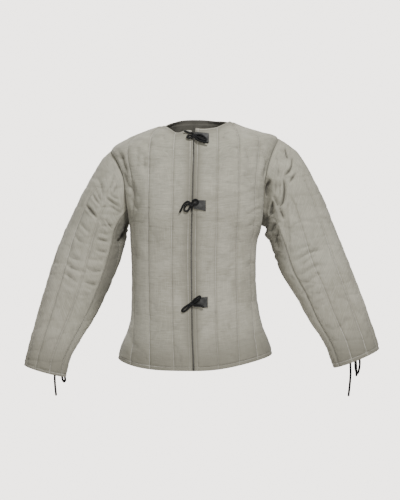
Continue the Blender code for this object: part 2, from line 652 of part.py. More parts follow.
def bow_place(bow, across, out, up):
    """A place in a bow's own directions, in metres."""
    return np.array([bow.x + across, bow.y + bow.recline * up - out, bow.z + up]) * MM


def make_laces():
    for number, bow in enumerate(BOWS, 1):
        make_knot(f"knot_{number}", bow_place(bow, 0.0, bow.knot_out, 0.0))
        for name, route in BOW_ROUTES.items():
            if name.startswith(f"lace_{number}_"):
                make_lace(name, np.array([bow_place(bow, *place) for place in route]))
    for side, knot in CUFF_KNOTS.items():
        make_knot(f"cuff_knot_{side}", np.array(knot) * MM)
        for name, route in CUFF_ROUTES.items():
            if name.startswith(f"cuff_lace_{side}_"):
                make_lace(name, (np.array(knot) + np.array(route)) * MM)


def main():
    for made in list(bpy.data.objects):
        bpy.data.objects.remove(made)
    grids = {(side, half): body_grid(side, half) for side in (-1, 1) for half in ("front", "back")}
    sleeves = {
        (side, part): sleeve_grid(side, part, armhole(grids, side)[0])
        for side in (-1, 1)
        for part in ("top", "under")
    }
    share_seam(grids, sleeves)
    outers = body_panels(grids)
    sleeve_panels(sleeves)
    for number, tab in enumerate(TABS, 1):
        make_tab(number, tab, outers)
    make_laces()


main()
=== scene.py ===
"""The looks of the quilted arming jacket: cloth, laces, tabs, light and camera.

The tables and surfaces repeat those of the solids, so that each piece lies where its solid does.
Lengths in the tables are millimetres, and every function works in metres.
"""

import math
from collections import namedtuple
from itertools import product

import bmesh
import bpy
import numpy as np
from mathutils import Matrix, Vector
from mathutils.bvhtree import BVHTree


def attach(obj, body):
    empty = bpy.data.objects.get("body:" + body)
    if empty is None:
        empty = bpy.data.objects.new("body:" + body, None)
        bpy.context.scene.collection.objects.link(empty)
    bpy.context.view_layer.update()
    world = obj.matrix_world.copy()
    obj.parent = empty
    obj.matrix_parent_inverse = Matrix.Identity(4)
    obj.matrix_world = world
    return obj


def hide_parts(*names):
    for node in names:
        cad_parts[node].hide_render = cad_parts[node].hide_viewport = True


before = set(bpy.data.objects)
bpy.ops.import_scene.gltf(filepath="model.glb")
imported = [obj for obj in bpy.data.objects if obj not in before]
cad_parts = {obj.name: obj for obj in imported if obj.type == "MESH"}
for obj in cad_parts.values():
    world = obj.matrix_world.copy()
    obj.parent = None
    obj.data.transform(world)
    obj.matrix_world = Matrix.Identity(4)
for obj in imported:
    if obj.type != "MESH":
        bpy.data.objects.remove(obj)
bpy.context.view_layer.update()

MM = 0.001

# The padded wall: two canvas layers with wadding, sewn together along the quilted lines.
WALL = 8.0 * MM
# Distances of the quilted lines from the middle of the front or back, and one past the side.
QUILT_LINES = {
    (-1, "front"): (53.0, 121.0, 186.0, 248.0),
    (1, "front"): (66.0, 127.0, 188.0, 248.0),
    (-1, "back"): (62.0, 124.0, 186.0, 246.0),
    (1, "back"): (62.0, 124.0, 186.0, 246.0),
}
COLUMNS_PER_CHANNEL = 3
# Where a row is short, the columns past this share of it close up towards its end.
KNEE = 0.75

# Rows of the solids' mesh between the named rings.
ROWS_BELOW_ARM = 13
ROWS_AT_SHOULDER = 6
SLEEVE_ROWS = 19

# Rings round the body from hem to neckline. front, right, left and back are the heights where the
# ring crosses the middle of the front, the two sides and the middle of the back. middle is how far
# the front opening lies to the left, to_right and to_left are the distances of the sides from the
# centre, and the depths are half sizes. square shapes the section, and the rises say how late
# the ring climbs to each side.
Ring = namedtuple(
    "Ring",
    "front right left back middle to_right to_left front_deep back_deep square rise_right rise_left",
)
BODY_RINGS = (
    Ring(-657, -638, -626, -655, 1, 211, 220, 152, 142, 2.10, 6.0, 2.6),  # hem
    Ring(-620, -602, -590, -617, 0, 201, 209, 149, 136, 2.10, 5.0, 2.4),
    Ring(-581, -566, -555, -578, -2, 185, 194, 143, 126, 2.15, 4.0, 2.2),  # hip
    Ring(-534, -522, -512, -532, -3, 174, 183, 134, 113, 2.20, 3.0, 2.0),
    Ring(-464, -455, -449, -463, -4, 172, 175, 125, 103, 2.25, 2.0, 2.0),  # waist
    Ring(-394, -389, -385, -393, -5, 172, 174, 125, 104, 2.30, 2.0, 2.0),
    Ring(-325, -323, -321, -324, -5, 175, 177, 130, 112, 2.35, 2.0, 2.0),
    Ring(-271, -271, -271, -271, -4, 178, 191, 135, 120, 2.40, 2.0, 2.0),  # underarm
    Ring(-235, -230, -223, -232, -3, 187, 202, 137, 125, 2.40, 2.0, 2.0),
    Ring(-198, -188, -175, -193, -2, 199, 209, 135, 127, 2.35, 2.0, 2.0),
    Ring(-161, -147, -127, -152, -1, 208, 220, 130, 124, 2.30, 2.0, 2.0),
    Ring(-123, -105, -79, -110, 0, 220, 229, 122, 117, 2.25, 2.0, 2.0),
    Ring(-85, -65, -31, -62, 1, 228, 234, 113, 106, 2.20, 2.0, 2.0),  # shoulder point
    Ring(-65, -35, -15, -30, 1, 186, 190, 105, 96, 2.15, 2.2, 2.2),
    Ring(-40, -11, 0, 0, 1, 132, 143, 96, 86, 2.10, 2.6, 2.6),
    Ring(-14, 6, 14, 27, 1, 82, 98, 88, 78, 2.05, 3.4, 3.4),  # neckline
)
UNDERARM = 7
SHOULDER = 12
NECK = 15

# How far the armhole reaches forward and back of the side, in degrees round the body.
ARMHOLE_FRONT = 18.0
ARMHOLE_BACK = 19.0
ARMHOLE_ROUNDING = 0.6
# Heights of the rows along the armhole, as shares of the way from underarm to shoulder.
ARMHOLE_ROWS = (0, 0.015, 0.045, 0.09, 0.14, 0.20, 0.26, 0.33, 0.41, 0.49, 0.58, 0.68, 0.79, 0.90, 1)
ROWS_AT_ARM = len(ARMHOLE_ROWS) - 1

# Half the gap between the two front edges, by ring.
FrontGap = namedtuple("FrontGap", "ring half_gap")
FRONT_GAPS = (FrontGap(0, 2.6), FrontGap(1.5, 1.7), FrontGap(13.5, 1.6), FrontGap(NECK, 5.0))
# The corner of each front at the neck is rounded down by this much.
CORNER_DROP = 5.0 * MM

# Sleeve rings from armhole to cuff. out and in are the section's two ends in the front view;
# middle is its centre forwards or back, deep its half depth, twist how far the cloth turns.
SleeveRing = namedtuple("SleeveRing", "out_x out_z in_x in_z middle deep twist")
RIGHT_SLEEVE = (
    SleeveRing(-228, -65, -178, -271, 3, 62, 0),  # armhole
    SleeveRing(-259, -100, -179, -285, 3, 67, 3),
    SleeveRing(-290, -150, -182, -302, 2, 70, 7),
    SleeveRing(-322, -213, -186, -319, 0, 70, 10),
    SleeveRing(-361, -299, -191, -341, -3, 66, 14),
    SleeveRing(-390, -382, -222, -424, -9, 61, 19),  # elbow
    SleeveRing(-417, -474, -264, -514, -18, 55, 23),
    SleeveRing(-439, -556, -308, -588, -30, 48, 26),
    SleeveRing(-453, -611, -335, -639, -38, 43, 28),
    SleeveRing(-463, -653, -343, -686, -43, 41, 29),  # cuff
)
LEFT_SLEEVE = (
    SleeveRing(234, -31, 191, -271, 3, 62, 0),  # armhole
    SleeveRing(278, -60, 194, -280, 3, 67, 3),
    SleeveRing(310, -100, 197, -288, 3, 70, 6),
    SleeveRing(337, -150, 201, -298, 2, 71, 9),
    SleeveRing(363, -206, 206, -310, 0, 70, 12),
    SleeveRing(387, -266, 213, -330, -3, 67, 14),
    SleeveRing(416, -340, 239, -403, -9, 62, 17),  # elbow
    SleeveRing(443, -413, 281, -469, -17, 57, 20),
    SleeveRing(467, -479, 314, -532, -26, 52, 23),
    SleeveRing(491, -553, 357, -600, -36, 46, 26),
    SleeveRing(508, -609, 379, -662, -43, 44, 28),  # cuff
)
# Columns round a sleeve run from the top over the front of the arm. The top sleeve wraps from the
# back seam over the arm to the front seam, and the under sleeve closes it below.
SLEEVE_COLUMNS = 2 * ROWS_AT_ARM
FRONT_SEAM = 9
BACK_SEAM = SLEEVE_COLUMNS - FRONT_SEAM
SLEEVE_LINES = (0, 3, 6, FRONT_SEAM, 12, 16, BACK_SEAM, 22, 25)
# The armhole's own shape fades into the plain section over this many rings.
ARMHOLE_BLEND = 2.5

# The right arm's vent: where each row of the under sleeve starts, until it meets the front seam.
VentRow = namedtuple("VentRow", "column ring")
RIGHT_VENT = (
    VentRow(15.5, 0),
    VentRow(15, 0.6),
    VentRow(14.5, 1.2),
    VentRow(14, 1.8),
    VentRow(13.3, 2.4),
    VentRow(12.4, 3.0),
    VentRow(11, 3.4),
)
# The left arm's vent is a slit: the ring where the sleeve starts, by columns from the top.
Slit = namedtuple("Slit", "column ring")
LEFT_SLIT = (Slit(4, 0), Slit(5, 0.15), Slit(6, 0.25), Slit(7, 0.2), Slit(9, 0.1), Slit(14, 0.5))

# Three leather tabs on the left front edge, each with a lace tied in a bow across the opening.
TAB_THICK = 2.2 * MM
TAB_CLEAR = 0.4 * MM
# How far across and up from each of its places a tab stays clear of the cloth, in millimetres.
TAB_ACROSS = (-4.5, -2.2, 0.0, 2.2, 4.5)
TAB_UP = (-0.8, 0.8)
TAB_START = 3.2 * MM
TAB_SMOOTHING = 4
TAB_ROUND = 1.0 * MM
TAB_CURL = 0.5 * MM
TAB_OFF_CLOTH = 0.1 * MM
# Where the rays that look for the cloth start, in front of the jacket.
BEFORE_CLOTH = -0.4
# The pull of its lace turns each tab a little, so its outer end is lower or taller than the inner.
Tab = namedtuple("Tab", "inner outer inner_top inner_bottom outer_top outer_bottom")
TABS = (
    Tab(4.5, 42, -24, -47, -28, -54),
    Tab(1.5, 33.5, -209, -232, -210, -238.5),
    Tab(1.0, 38.5, -468, -490, -463.5, -492.5),
)


# Each bow's foot is on the cloth of the front edge. Places in its routes are across, out from the
# cloth and up, from the foot; recline is how much the cloth falls back for each step up.
Bow = namedtuple("Bow", "x y z recline knot_out")
BOWS = (
    Bow(3, -90, -36, 0.45, 8.4),
    Bow(-4, -130.3, -222, 0.02, 7.6),
    Bow(-4, -121.2, -482, -0.12, 7.6),
)
BOW_ROUTES = {
    "lace_1_loop_left": (
        (-5.4, 7.6, 0.2), (-10, 7.0, 0.8), (-16, 7.4, 0.6), (-19.4, 7.8, -2.4),
        (-17, 7.8, -5.8), (-11, 7.0, -6.2), (-5.2, 7.2, -4.8),
    ),
    "lace_1_loop_right": (
        (5.6, 9.6, 2.2), (12, 10.6, 3), (21, 12, 0), (29, 12.4, -6.6), (31.4, 12, -11.4),
        (28, 11.8, -13.6), (20, 11.4, -11), (12, 10.4, -6.6), (6.2, 9.4, -2.4),
    ),
    "lace_1_end_left": ((-2.8, 7.9, 4.7), (-7, 6.6, 8.2), (-14, 7, 8.4), (-21, 7.6, 11.6), (-28, 8, 13)),
    "lace_1_end_right": (
        (2.1, 8.7, -4.7), (9.4, 9.4, -12), (19, 10.8, -15.8), (28, 11.4, -18.6), (37, 12, -20.6),
    ),
    "lace_2_loop_left": (
        (-5.6, 7.6, 1.2), (-12, 7.8, 0.6), (-17.4, 8.6, -5), (-19.4, 8.8, -12),
        (-15, 8.6, -17), (-8.4, 7.8, -13.4), (-4.4, 7.2, -5.2),
    ),
    "lace_2_loop_right": (
        (1, 7.8, 5.5), (4, 8.8, 11), (10.4, 9.8, 13.8), (16, 10.4, 10.6), (17, 10.4, 5), (12.8, 9.8, 1.4),
        (6, 8.4, 1.2),
    ),
    "lace_2_end_left": (
        (-3.6, 7.6, 4.7), (-10, 8.2, 8.4), (-18, 8.6, 4), (-23.6, 9.3, -4), (-27, 9.6, -12),
        (-32, 9.6, -20.4),
    ),
    "lace_2_end_low": ((1.4, 7, -5.4), (0.6, 6.4, -10), (-0.6, 6, -15)),
    "lace_3_loop_left": (
        (-5.6, 8, -1.2), (-12, 9.6, -5), (-21.4, 11.8, -11.6), (-25.6, 12.4, -17.6), (-22.2, 12.4, -20.6),
        (-16, 11.6, -17.4), (-8.6, 10, -10.6), (-3.6, 8.2, -5.4),
    ),
    "lace_3_loop_right": (
        (2.6, 8.4, 5.4), (8, 9.6, 11.4), (16.6, 12, 18), (21.6, 12.8, 20), (22.6, 12.8, 16),
        (17, 11.6, 9.8), (10.6, 10, 4.8), (5.6, 9, 1.6),
    ),
    "lace_3_end_right": ((5.8, 8.8, -3), (12, 11.6, -2), (20, 13.2, -2.6), (27, 13.6, -6), (32, 13.6, -9.4)),
}

# The laces tied at the back of the cuffs. Places are from the knot, across, back and up.
CuffKnot = namedtuple("CuffKnot", "x y z")
CUFF_KNOTS = {"right": CuffKnot(-378, 2.6, -652), "left": CuffKnot(446, 4.3, -612)}
CUFF_ROUTES = {
    "cuff_lace_right_loop": (
        (2.8, 0, -5), (8, 1, -14), (12, 1.4, -30), (14.6, 1.4, -47), (19, 1.4, -54), (22, 1.4, -48),
        (18.6, 1.4, -30), (12, 1, -12), (6, 0, -2),
    ),
    "cuff_lace_right_end": ((-3, 0, -5), (-5.6, 1, -16), (-7, 1.4, -40), (-6, 1.4, -64), (-3, 1.4, -93)),
    "cuff_lace_left_loop": (
        (-1, 0, -5.4), (2, 1, -16), (3, 1.4, -34), (3.4, 1.4, -56), (8, 1.4, -72), (13, 1.4, -62),
        (15.6, 1.4, -42), (13, 1.4, -20), (5, 0, -3),
    ),
    "cuff_lace_left_end": (
        (-4.6, 0, -3.6), (-9, 1, -16), (-10.6, 1.4, -40), (-10, 1.4, -70), (-12, 1.4, -100),
        (-16, 1.4, -135),
    ),
    "cuff_lace_left_end_short": ((1, 4.6, -4), (3, 6, -20), (6, 6.4, -44), (7, 6.4, -80)),
}

# The largest folds, as routes in the front view, with how broad and deep each one is.
Fold = namedtuple("Fold", "route breadth depth")
FOLDS = {
    "sleeve_right": (
        Fold(((-295, -216), (-277, -235), (-258, -257)), 4, 6.0),
        Fold(((-258, -257), (-247, -268), (-240, -280)), 5, 3.0),
        Fold(((-240, -257), (-228, -270), (-215, -288)), 4, 4.0),
        Fold(((-252, -252), (-240, -270), (-226, -290)), 4, 2.5),
        Fold(((-275, -186), (-264, -204), (-250, -221)), 4, 4.5),
        Fold(((-266, -171), (-255, -197), (-248, -215)), 6, 3.5),
        Fold(((-262, -140), (-250, -172), (-243, -200)), 7, 3.5),
        Fold(((-231, -184), (-215, -197), (-202, -204)), 4, 3.5),
        Fold(((-237, -197), (-218, -212), (-195, -226)), 4, 4.5),
        Fold(((-226, -218), (-208, -232), (-192, -240)), 5, 2.5),
        Fold(((-215, -133), (-222, -158), (-234, -184)), 7, 3.0),
        Fold(((-206, -150), (-212, -176), (-222, -196)), 5, 2.5),
        Fold(((-264, -311), (-246, -314), (-228, -321)), 5, 4.5),
        Fold(((-258, -290), (-240, -298), (-226, -300)), 6, 2.5),
        Fold(((-266, -338), (-246, -345), (-228, -347)), 5, 4.0),
        Fold(((-286, -362), (-266, -367), (-240, -369)), 5, 2.5),
        Fold(((-310, -265), (-295, -281), (-277, -299)), 5, 3.0),
        Fold(((-326, -296), (-312, -312), (-295, -321)), 5, 2.5),
        Fold(((-345, -349), (-326, -362), (-301, -367)), 5, 2.5),
        Fold(((-348, -375), (-330, -387), (-304, -397), (-275, -399)), 5, 4.0),
        Fold(((-297, -385), (-270, -396), (-246, -398)), 5, 3.5),
        Fold(((-352, -400), (-332, -413), (-308, -429)), 5, 3.5),
        Fold(((-301, -422), (-275, -433), (-248, -434)), 5, 3.5),
        Fold(((-297, -435), (-273, -451)), 5, 2.5),
        Fold(((-354, -424), (-336, -438), (-318, -448)), 6, 2.0),
        Fold(((-310, -460), (-281, -464)), 6, 2.0),
        Fold(((-351, -461), (-324, -482)), 7, 2.0),
        Fold(((-330, -523), (-276, -533)), 9, 2.0),
        Fold(((-378, -544), (-340, -563)), 9, 2.0),
    ),
    "sleeve_left": (
        Fold(((243, -147), (247, -165), (246, -190), (241, -214), (230, -227)), 4, 8.0),
        Fold(((231, -222), (238, -242), (243, -260)), 4, 7.0),
        Fold(((215, -193), (223, -208), (230, -227)), 4, 5.0),
        Fold(((216, -206), (211, -232), (206, -252)), 4, 10.0),
        Fold(((223, -233), (206, -250), (192, -266)), 4, 6.0),
        Fold(((238, -264), (216, -276), (207, -302)), 4, 5.0),
        Fold(((235, -276), (224, -305), (218, -329)), 4, 5.0),
        Fold(((212, -292), (224, -318), (230, -344)), 4, 3.0),
        Fold(((210, -150), (200, -171), (201, -196)), 3.5, 14.0),
        Fold(((253, -58), (256, -72), (260, -90)), 4, 6.5),
        Fold(((272, -85), (269, -113), (260, -128), (247, -138)), 4, 6.0),
        Fold(((284, -128), (269, -147), (260, -162)), 4, 4.5),
        Fold(((264, -168), (258, -211), (246, -254), (250, -319)), 10, 4.0),
        Fold(((256, -164), (258, -230), (264, -300), (264, -357)), 3.5, -2.0),
        Fold(((261, -181), (272, -204), (287, -227)), 3.5, -2.0),
        Fold(((228, -88), (232, -118), (230, -142)), 6, 3.0),
        Fold(((222, -150), (224, -170), (221, -188)), 5, 3.0),
        Fold(((236, -150), (233, -172), (228, -196)), 4, 2.5),
        Fold(((352, -338), (310, -350), (268, -376)), 6, 4.0),
        Fold(((338, -352), (312, -366), (282, -392)), 6, 3.0),
        Fold(((350, -378), (322, -388), (284, -414)), 6, 3.0),
        Fold(((344, -404), (322, -416), (294, -440)), 6, 3.0),
        Fold(((326, -436), (306, -450), (288, -462)), 6, 2.5),
        Fold(((352, -450), (306, -484)), 8, 2.0),
        Fold(((318, -326), (276, -342)), 6, 2.0),
        Fold(((370, -472), (318, -512)), 9, 2.0),
        Fold(((424, -523), (382, -555)), 8, 2.5),
    ),
    "front_right": (
        Fold(((-198, -76), (-190, -104), (-178, -140)), 5, 4.0),
        Fold(((-152, -60), (-148, -92), (-150, -128)), 8, 3.0),
        Fold(((-176, -190), (-164, -215), (-146, -238)), 7, 3.0),
        Fold(((-193, -101), (-182, -155), (-165, -182), (-154, -226)), 8, 4.5),
        Fold(((-168, -152), (-160, -193)), 6, 2.5),
        Fold(((-132, -79), (-128, -143)), 8, 3.5),
        Fold(((-207, -63), (-193, -105)), 7, 3.0),
        Fold(((-22, -40), (-62, -47)), 6, 2.0),
        Fold(((-81, -22), (-73, -63)), 7, 2.5),
        Fold(((-116, -47), (-124, -79)), 8, 2.5),
        Fold(((-167, -314), (-150, -373)), 9, 2.5),
        Fold(((-180, -555), (-158, -613)), 10, 2.5),
    ),
    "front_left": (
        Fold(((208, -92), (200, -120), (188, -150)), 6, 4.5),
        Fold(((178, -52), (182, -84), (176, -112)), 7, 3.0),
        Fold(((112, -30), (118, -66), (132, -96)), 8, 3.0),
        Fold(((136, -66), (158, -121)), 7, 4.0),
        Fold(((133, -137), (160, -164)), 8, 2.5),
        Fold(((188, -75), (199, -116), (193, -129)), 6, 4.0),
        Fold(((88, -14), (78, -48)), 6, 3.5),
        Fold(((53, -20), (47, -55)), 7, 2.0),
        Fold(((190, -196), (172, -204), (150, -216)), 6, 1.6),
        Fold(((188, -226), (168, -236), (136, -250)), 6, 1.6),
        Fold(((182, -262), (162, -270), (138, -288)), 6, 1.4),
        Fold(((170, -373), (136, -389)), 9, 2.0),
        Fold(((184, -474), (152, -485)), 9, 2.0),
    ),
}

# Flat cut of each panel: width and length in metres, and area in square metres.
BODY_CUTS = {
    (-1, "front"): ((0.31, 0.65), 0.160),
    (1, "front"): ((0.31, 0.65), 0.165),
    (-1, "back"): ((0.31, 0.69), 0.165),
    (1, "back"): ((0.31, 0.69), 0.170),
}
SLEEVE_CUTS = {
    (-1, "top"): ((0.27, 0.66), 0.145),
    (-1, "under"): ((0.15, 0.50), 0.050),
    (1, "top"): ((0.27, 0.69), 0.150),
    (1, "under"): ((0.15, 0.48), 0.052),
}

# Relief of the cloth.
GROOVE = 2.6 * MM
CROWN = 1.5 * MM
STITCH_DROP = 0.9 * MM
SEAM_DROP = 1.6 * MM
HEM_DROP = 1.6 * MM
HEM_THIN = 1.8 * MM
EDGE_RADIUS = 2.2 * MM
PUCKER = 0.7 * MM
SEAM_TURN = 8.0 * MM
ACROSS_CHANNEL = (
    0, 0.012, 0.03, 0.055, 0.09, 0.13, 0.18, 0.235, 0.29, 0.345, 0.4, 0.455, 0.51, 0.565, 0.62, 0.675, 0.73,
    0.785, 0.84, 0.89, 0.93, 0.96, 0.985,
)
FOLD_GAIN = 1.15
Dip = namedtuple("Dip", "across breadth depth reach")
# The tuck of the right under sleeve, and the slit at the front of the left armhole.
VENT_COLUMN = 13
VENT_LIP = (-0.25, -0.1, 0.0, 0.08, 0.2, 0.4)
VENT_DEPTH = 17.0 * MM
SLIT_DEPTH = 13.0 * MM
SLIT_REACH = 13.0 * MM
# The lining meets behind the front opening, up to this far from the hem.
LIP_TOP = 600.0 * MM
LIP_FADE = 60.0 * MM
LIP_GAP = -0.7 * MM
LIP_RISE = 0.7 * MM
WOBBLE = 1.5 * MM
WOBBLE_SEED = 14
# Lumps of the cloth: how large they are in millimetres, and the seed of their noise.
Lumps = namedtuple("Lumps", "size seed")
PUCKERS = Lumps((16, 16, 7), 3)
CRUMPLES = Lumps((70, 70, 22), 5)
SMALL_CRUMPLES = Lumps((34, 34, 11), 8)
SWAYS = Lumps((130, 130, 170), 11)
CREASES = Lumps((75, 75, 26), 21)
SMALL_CREASES = Lumps((40, 40, 15), 27)
GATHERS = Lumps((60, 60, 11), 31)
ROW_STEPS = 7
SLEEVE_STEPS = 13
# How far below the armhole the sleeve's quilting begins, on the wearer's right and left.
LINE_FADE = {-1: 25.0 * MM, 1: 75.0 * MM}
# How wide the painted shade at the bottom of a fold is on its two sides, in millimetres.
SHARP_CRACK = 2.0
SOFT_CRACK = 3.4
# Painted shade on the under sleeves near the armhole: how dark it is, and how far down it reaches.
UNDER_SHADE = {-1: 0.74, 1: 0.60}
UNDER_REACH = {-1: 400.0 * MM, 1: 270.0 * MM}
UNDER_FADE = 200.0 * MM
# Painted shade in the crumpled hollow at the front of the left armhole: where it is, how far round it
# reaches, and how dark it is.
HOLLOW = (220, -238)
HOLLOW_SPREAD = (24, 40)
HOLLOW_SHADE = 0.55
# The back's neck edge stands a little higher than the solid's.
NECK_RISE = Dip(0.0, 95 * MM, 4 * MM, 30 * MM)
# The neckline: the left front's corner stands up, and the right front's edge dips beside it.
CORNER_LIFT = -3.0 * MM
NECK_DIP = Dip(42 * MM, 24 * MM, 10 * MM, 40 * MM)
# Where the left side departs from the solids, how far round that, and by how much (millimetres):
# the crumpled cloth under the arm hangs lower, and the neck stands higher beside the shoulder.
Shift = namedtuple("Shift", "place spread move")
LEFT_SHIFTS = (
    Shift((193, 0, -248), (30, 70, 30), (-6, 0, -26)),
    Shift((88, 0, 16), (24, 60, 26), (3, 0, 5)),
)
# Where the hems are stitched: body rows, the front's column and sleeve rows from the cuff.
BODY_STITCH_ROWS = (0.62, 32.65)
FRONT_STITCH = 0.45
CUFF_STITCH = 0.45

# Laces.
LACE = 5.2 * MM
CUFF_LACE = 6.2 * MM
LACE_SIDES = 12
LACE_STEP = 1.2 * MM
BRAID_TURNS = 1150.0
# A lace's ends are led in to this share of their way from the knot, and a route that ends nearer
# the knot than LOOP_END is a loop.
INTO_KNOT = 0.35
LOOP_END = 12 * MM
KNOT_TURNS = ((0.35, 3.4, 2.9), (-0.75, 2.6, 3.0), (1.35, 2.9, 2.2))
TAB_EDGE = (0.0, 0.012, 0.03)

# Colours, as linear light.
THREAD = 0.9 * MM
CLOTH_LIGHT = (0.410, 0.390, 0.320, 1)
CLOTH_DARK = (0.320, 0.303, 0.244, 1)
CLOTH_GREEN = (0.345, 0.343, 0.278, 1)
CLOTH_SLUB = (0.540, 0.517, 0.432, 1)
# A darker canvas tone, for the dark slubs and flecks, the darkening towards the edges and the painted shade
# beside the quilted lines.
CLOTH_SHADE = (0.215, 0.203, 0.162, 1)
# The colour of the painted shade in folds, creases and along seams.
CLOTH_PAINTED_SHADE = (0.080, 0.075, 0.062, 1)
# Multiplied onto the inner faces of the cloth as painted shade.
INSIDE_PAINTED_SHADE = (0.26, 0.26, 0.27, 1)
THREAD_COLOUR = (0.560, 0.540, 0.480, 1)
LEATHER_DARK = (0.021, 0.021, 0.020, 1)
LEATHER_LIGHT = (0.052, 0.051, 0.048, 1)
LEATHER_RUBBED = (0.120, 0.117, 0.110, 1)
LACE_DARK = (0.003, 0.003, 0.003, 1)
LACE_LIGHT = (0.011, 0.011, 0.012, 1)
FLOOR_COLOUR = (0.88, 0.865, 0.84, 1)
FLOOR_Z = -1.6
FLOOR_RADIUS = 1.6
FLOOR_SIDES = 96
SKY_COLOUR = (0.86, 0.85, 0.83, 1)
SKY_STRENGTH = 0.30
BACKDROP_COLOUR = (1.0, 0.955, 0.905, 1)
BACKDROP_STRENGTH = 3.6
# The lamps' aim, and the name, place, size and power of each.
LAMP_AIM = (0.02, 0.0, -0.35)
LAMPS = (
    ("key", (0.8, -2.0, 1.9), 0.7, 96.0),
    ("front", (-0.5, -3.2, 0.2), 1.4, 38.0),
    ("rear_key", (-1.5, 1.8, 1.6), 0.9, 70.0),
    ("rear", (0.7, 3.0, 0.3), 1.8, 30.0),
)

# The photograph is 400 x 500 and taken from straight in front, level with the jacket's middle.
CAMERA_AT = (0.018, -2.6, -0.3407)
VIEW_HEIGHT = 1.385


def smoothstep(t):
    t = np.clip(t, 0.0, 1.0)
    return t * t * (3.0 - 2.0 * t)


def between(table, at):
    """A table's columns at fractional rows, on a smooth curve through the rows."""
    rows = np.asarray(table, float)
    last = len(rows) - 1
    at = np.clip(np.asarray(at, float), 0.0, last)
    low = np.minimum(np.floor(at).astype(int), last - 1)
    t = (at - low)[..., None]
    before, start = rows[np.maximum(low - 1, 0)], rows[low]
    end, after = rows[low + 1], rows[np.minimum(low + 2, last)]
    slope_1, slope_2 = (end - before) / 2.0, (after - start) / 2.0
    return (
        start * (2 * t**3 - 3 * t**2 + 1)
        + slope_1 * (t**3 - 2 * t**2 + t)
        + end * (3 * t**2 - 2 * t**3)
        + slope_2 * (t**3 - t**2)
    )


def unit(vectors):
    return vectors / np.maximum(np.linalg.norm(vectors, axis=-1, keepdims=True), 1e-12)


# Surfaces shared with the solids.


def body_point(side, ring, angle):
    """Points on the jacket's body; angle runs from 0 in the middle of the front to pi at the back."""
    ring, angle = np.broadcast_arrays(np.asarray(ring, float), np.asarray(angle, float))
    row = Ring(*np.moveaxis(between(BODY_RINGS, ring), -1, 0))
    sine, cosine = np.maximum(np.sin(angle), 0.0), np.cos(angle)
    front = cosine > 0.0
    wide = (row.to_right if side < 0 else row.to_left) - side * row.middle
    deep = np.where(front, row.front_deep, row.back_deep)
    end_z = np.where(front, row.front, row.back)
    side_z = row.right if side < 0 else row.left
    reach = ((sine / wide) ** row.square + (np.abs(cosine) / deep) ** row.square) ** (-1.0 / row.square)
    rise = row.rise_right if side < 0 else row.rise_left
    height = end_z + (side_z - end_z) * sine**rise
    return np.stack([row.middle + side * reach * sine, -reach * cosine, height], axis=-1) * MM


def body_normal(side, ring, angle):
    """Outward directions of the body at the same places as body_point."""
    step_ring, step_angle = 0.02, 0.01
    ring = np.asarray(ring, float)
    angle = np.clip(np.asarray(angle, float), step_angle, math.pi - step_angle)
    up = body_point(side, np.minimum(ring + step_ring, NECK), angle)
    up = up - body_point(side, np.maximum(ring - step_ring, 0.0), angle)
    round_it = body_point(side, ring, angle + step_angle) - body_point(side, ring, angle - step_angle)
    return unit(np.cross(round_it, up) * side)


def edge_angle(ring, half):
    """How far a front or back reaches round the body on a ring: to the side, or to the armhole."""
    share = np.clip((np.asarray(ring, float) - UNDERARM) / (SHOULDER - UNDERARM), 0.0, 1.0)
    opened = ARMHOLE_FRONT if half == "front" else ARMHOLE_BACK
    return math.radians(90.0) - math.radians(opened) * np.sin(math.pi * share) ** ARMHOLE_ROUNDING


def columns_on(reach, start, lines):
    """Distances of the quilting columns from the middle edge on a row that is reach long."""
    lines = np.array([0.0, *lines]) * MM
    count = COLUMNS_PER_CHANNEL * (len(lines) - 1) + 1
    ideal = np.interp(np.arange(count), COLUMNS_PER_CHANNEL * np.arange(len(lines)), lines)
    knee = KNEE * reach if reach < lines[-1] else max(lines[-2], KNEE * reach)
    past = ideal > knee
    ideal[past] = knee + (ideal[past] - knee) * (reach - knee) / (lines[-1] - knee)
    ideal[0] = start
    return ideal


def body_rings():
    """Ring numbers of the mesh rows, close together where the armhole turns."""
    below = np.linspace(0, UNDERARM, ROWS_BELOW_ARM + 1)
    beside = UNDERARM + (SHOULDER - UNDERARM) * np.array(ARMHOLE_ROWS[1:])
    above = np.linspace(SHOULDER, NECK, ROWS_AT_SHOULDER + 1)[1:]
    return np.concatenate([below, beside, above])


def sleeve_section(table, ring, column):
    """Points of a sleeve's plain sections; columns run from the top over the front to the underside."""
    row = SleeveRing(*np.moveaxis(between(table, ring), -1, 0))
    turn = 2.0 * math.pi * column / SLEEVE_COLUMNS + np.radians(row.twist)
    along, around = np.cos(turn), np.sin(turn)
    x = (row.out_x + row.in_x) / 2.0 + (row.out_x - row.in_x) / 2.0 * along
    z = (row.out_z + row.in_z) / 2.0 + (row.out_z - row.in_z) / 2.0 * along
    return np.stack([x, row.middle - row.deep * around, z], axis=-1) * MM


def sleeve_direction(side, table, ring, column):
    step_ring, step_column = 0.05, 0.25
    down = sleeve_section(table, ring + step_ring, column) - sleeve_section(table, ring - step_ring, column)
    after, before = column + step_column, column - step_column
    round_it = sleeve_section(table, ring, after) - sleeve_section(table, ring, before)
    return unit(np.cross(round_it, down) * side)


def sleeve_numbers(side, part):
    """Column and ring numbers of the solid's rows of a top sleeve or an under sleeve."""
    last_ring = len(RIGHT_SLEEVE if side < 0 else LEFT_SLEEVE) - 1
    share = np.linspace(0.0, 1.0, SLEEVE_ROWS + 1)[:, None]
    first, last = (BACK_SEAM - SLEEVE_COLUMNS, FRONT_SEAM) if part == "top" else (FRONT_SEAM, BACK_SEAM)
    column = np.tile(np.arange(first, last + 1.0), (len(share), 1))
    if side > 0:
        from_top = np.minimum(np.abs(column), SLEEVE_COLUMNS - np.abs(column))
        start = np.interp(from_top, *zip(*LEFT_SLIT))
        return column, start + (last_ring - start) * share
    return column, last_ring * share * np.ones_like(column)


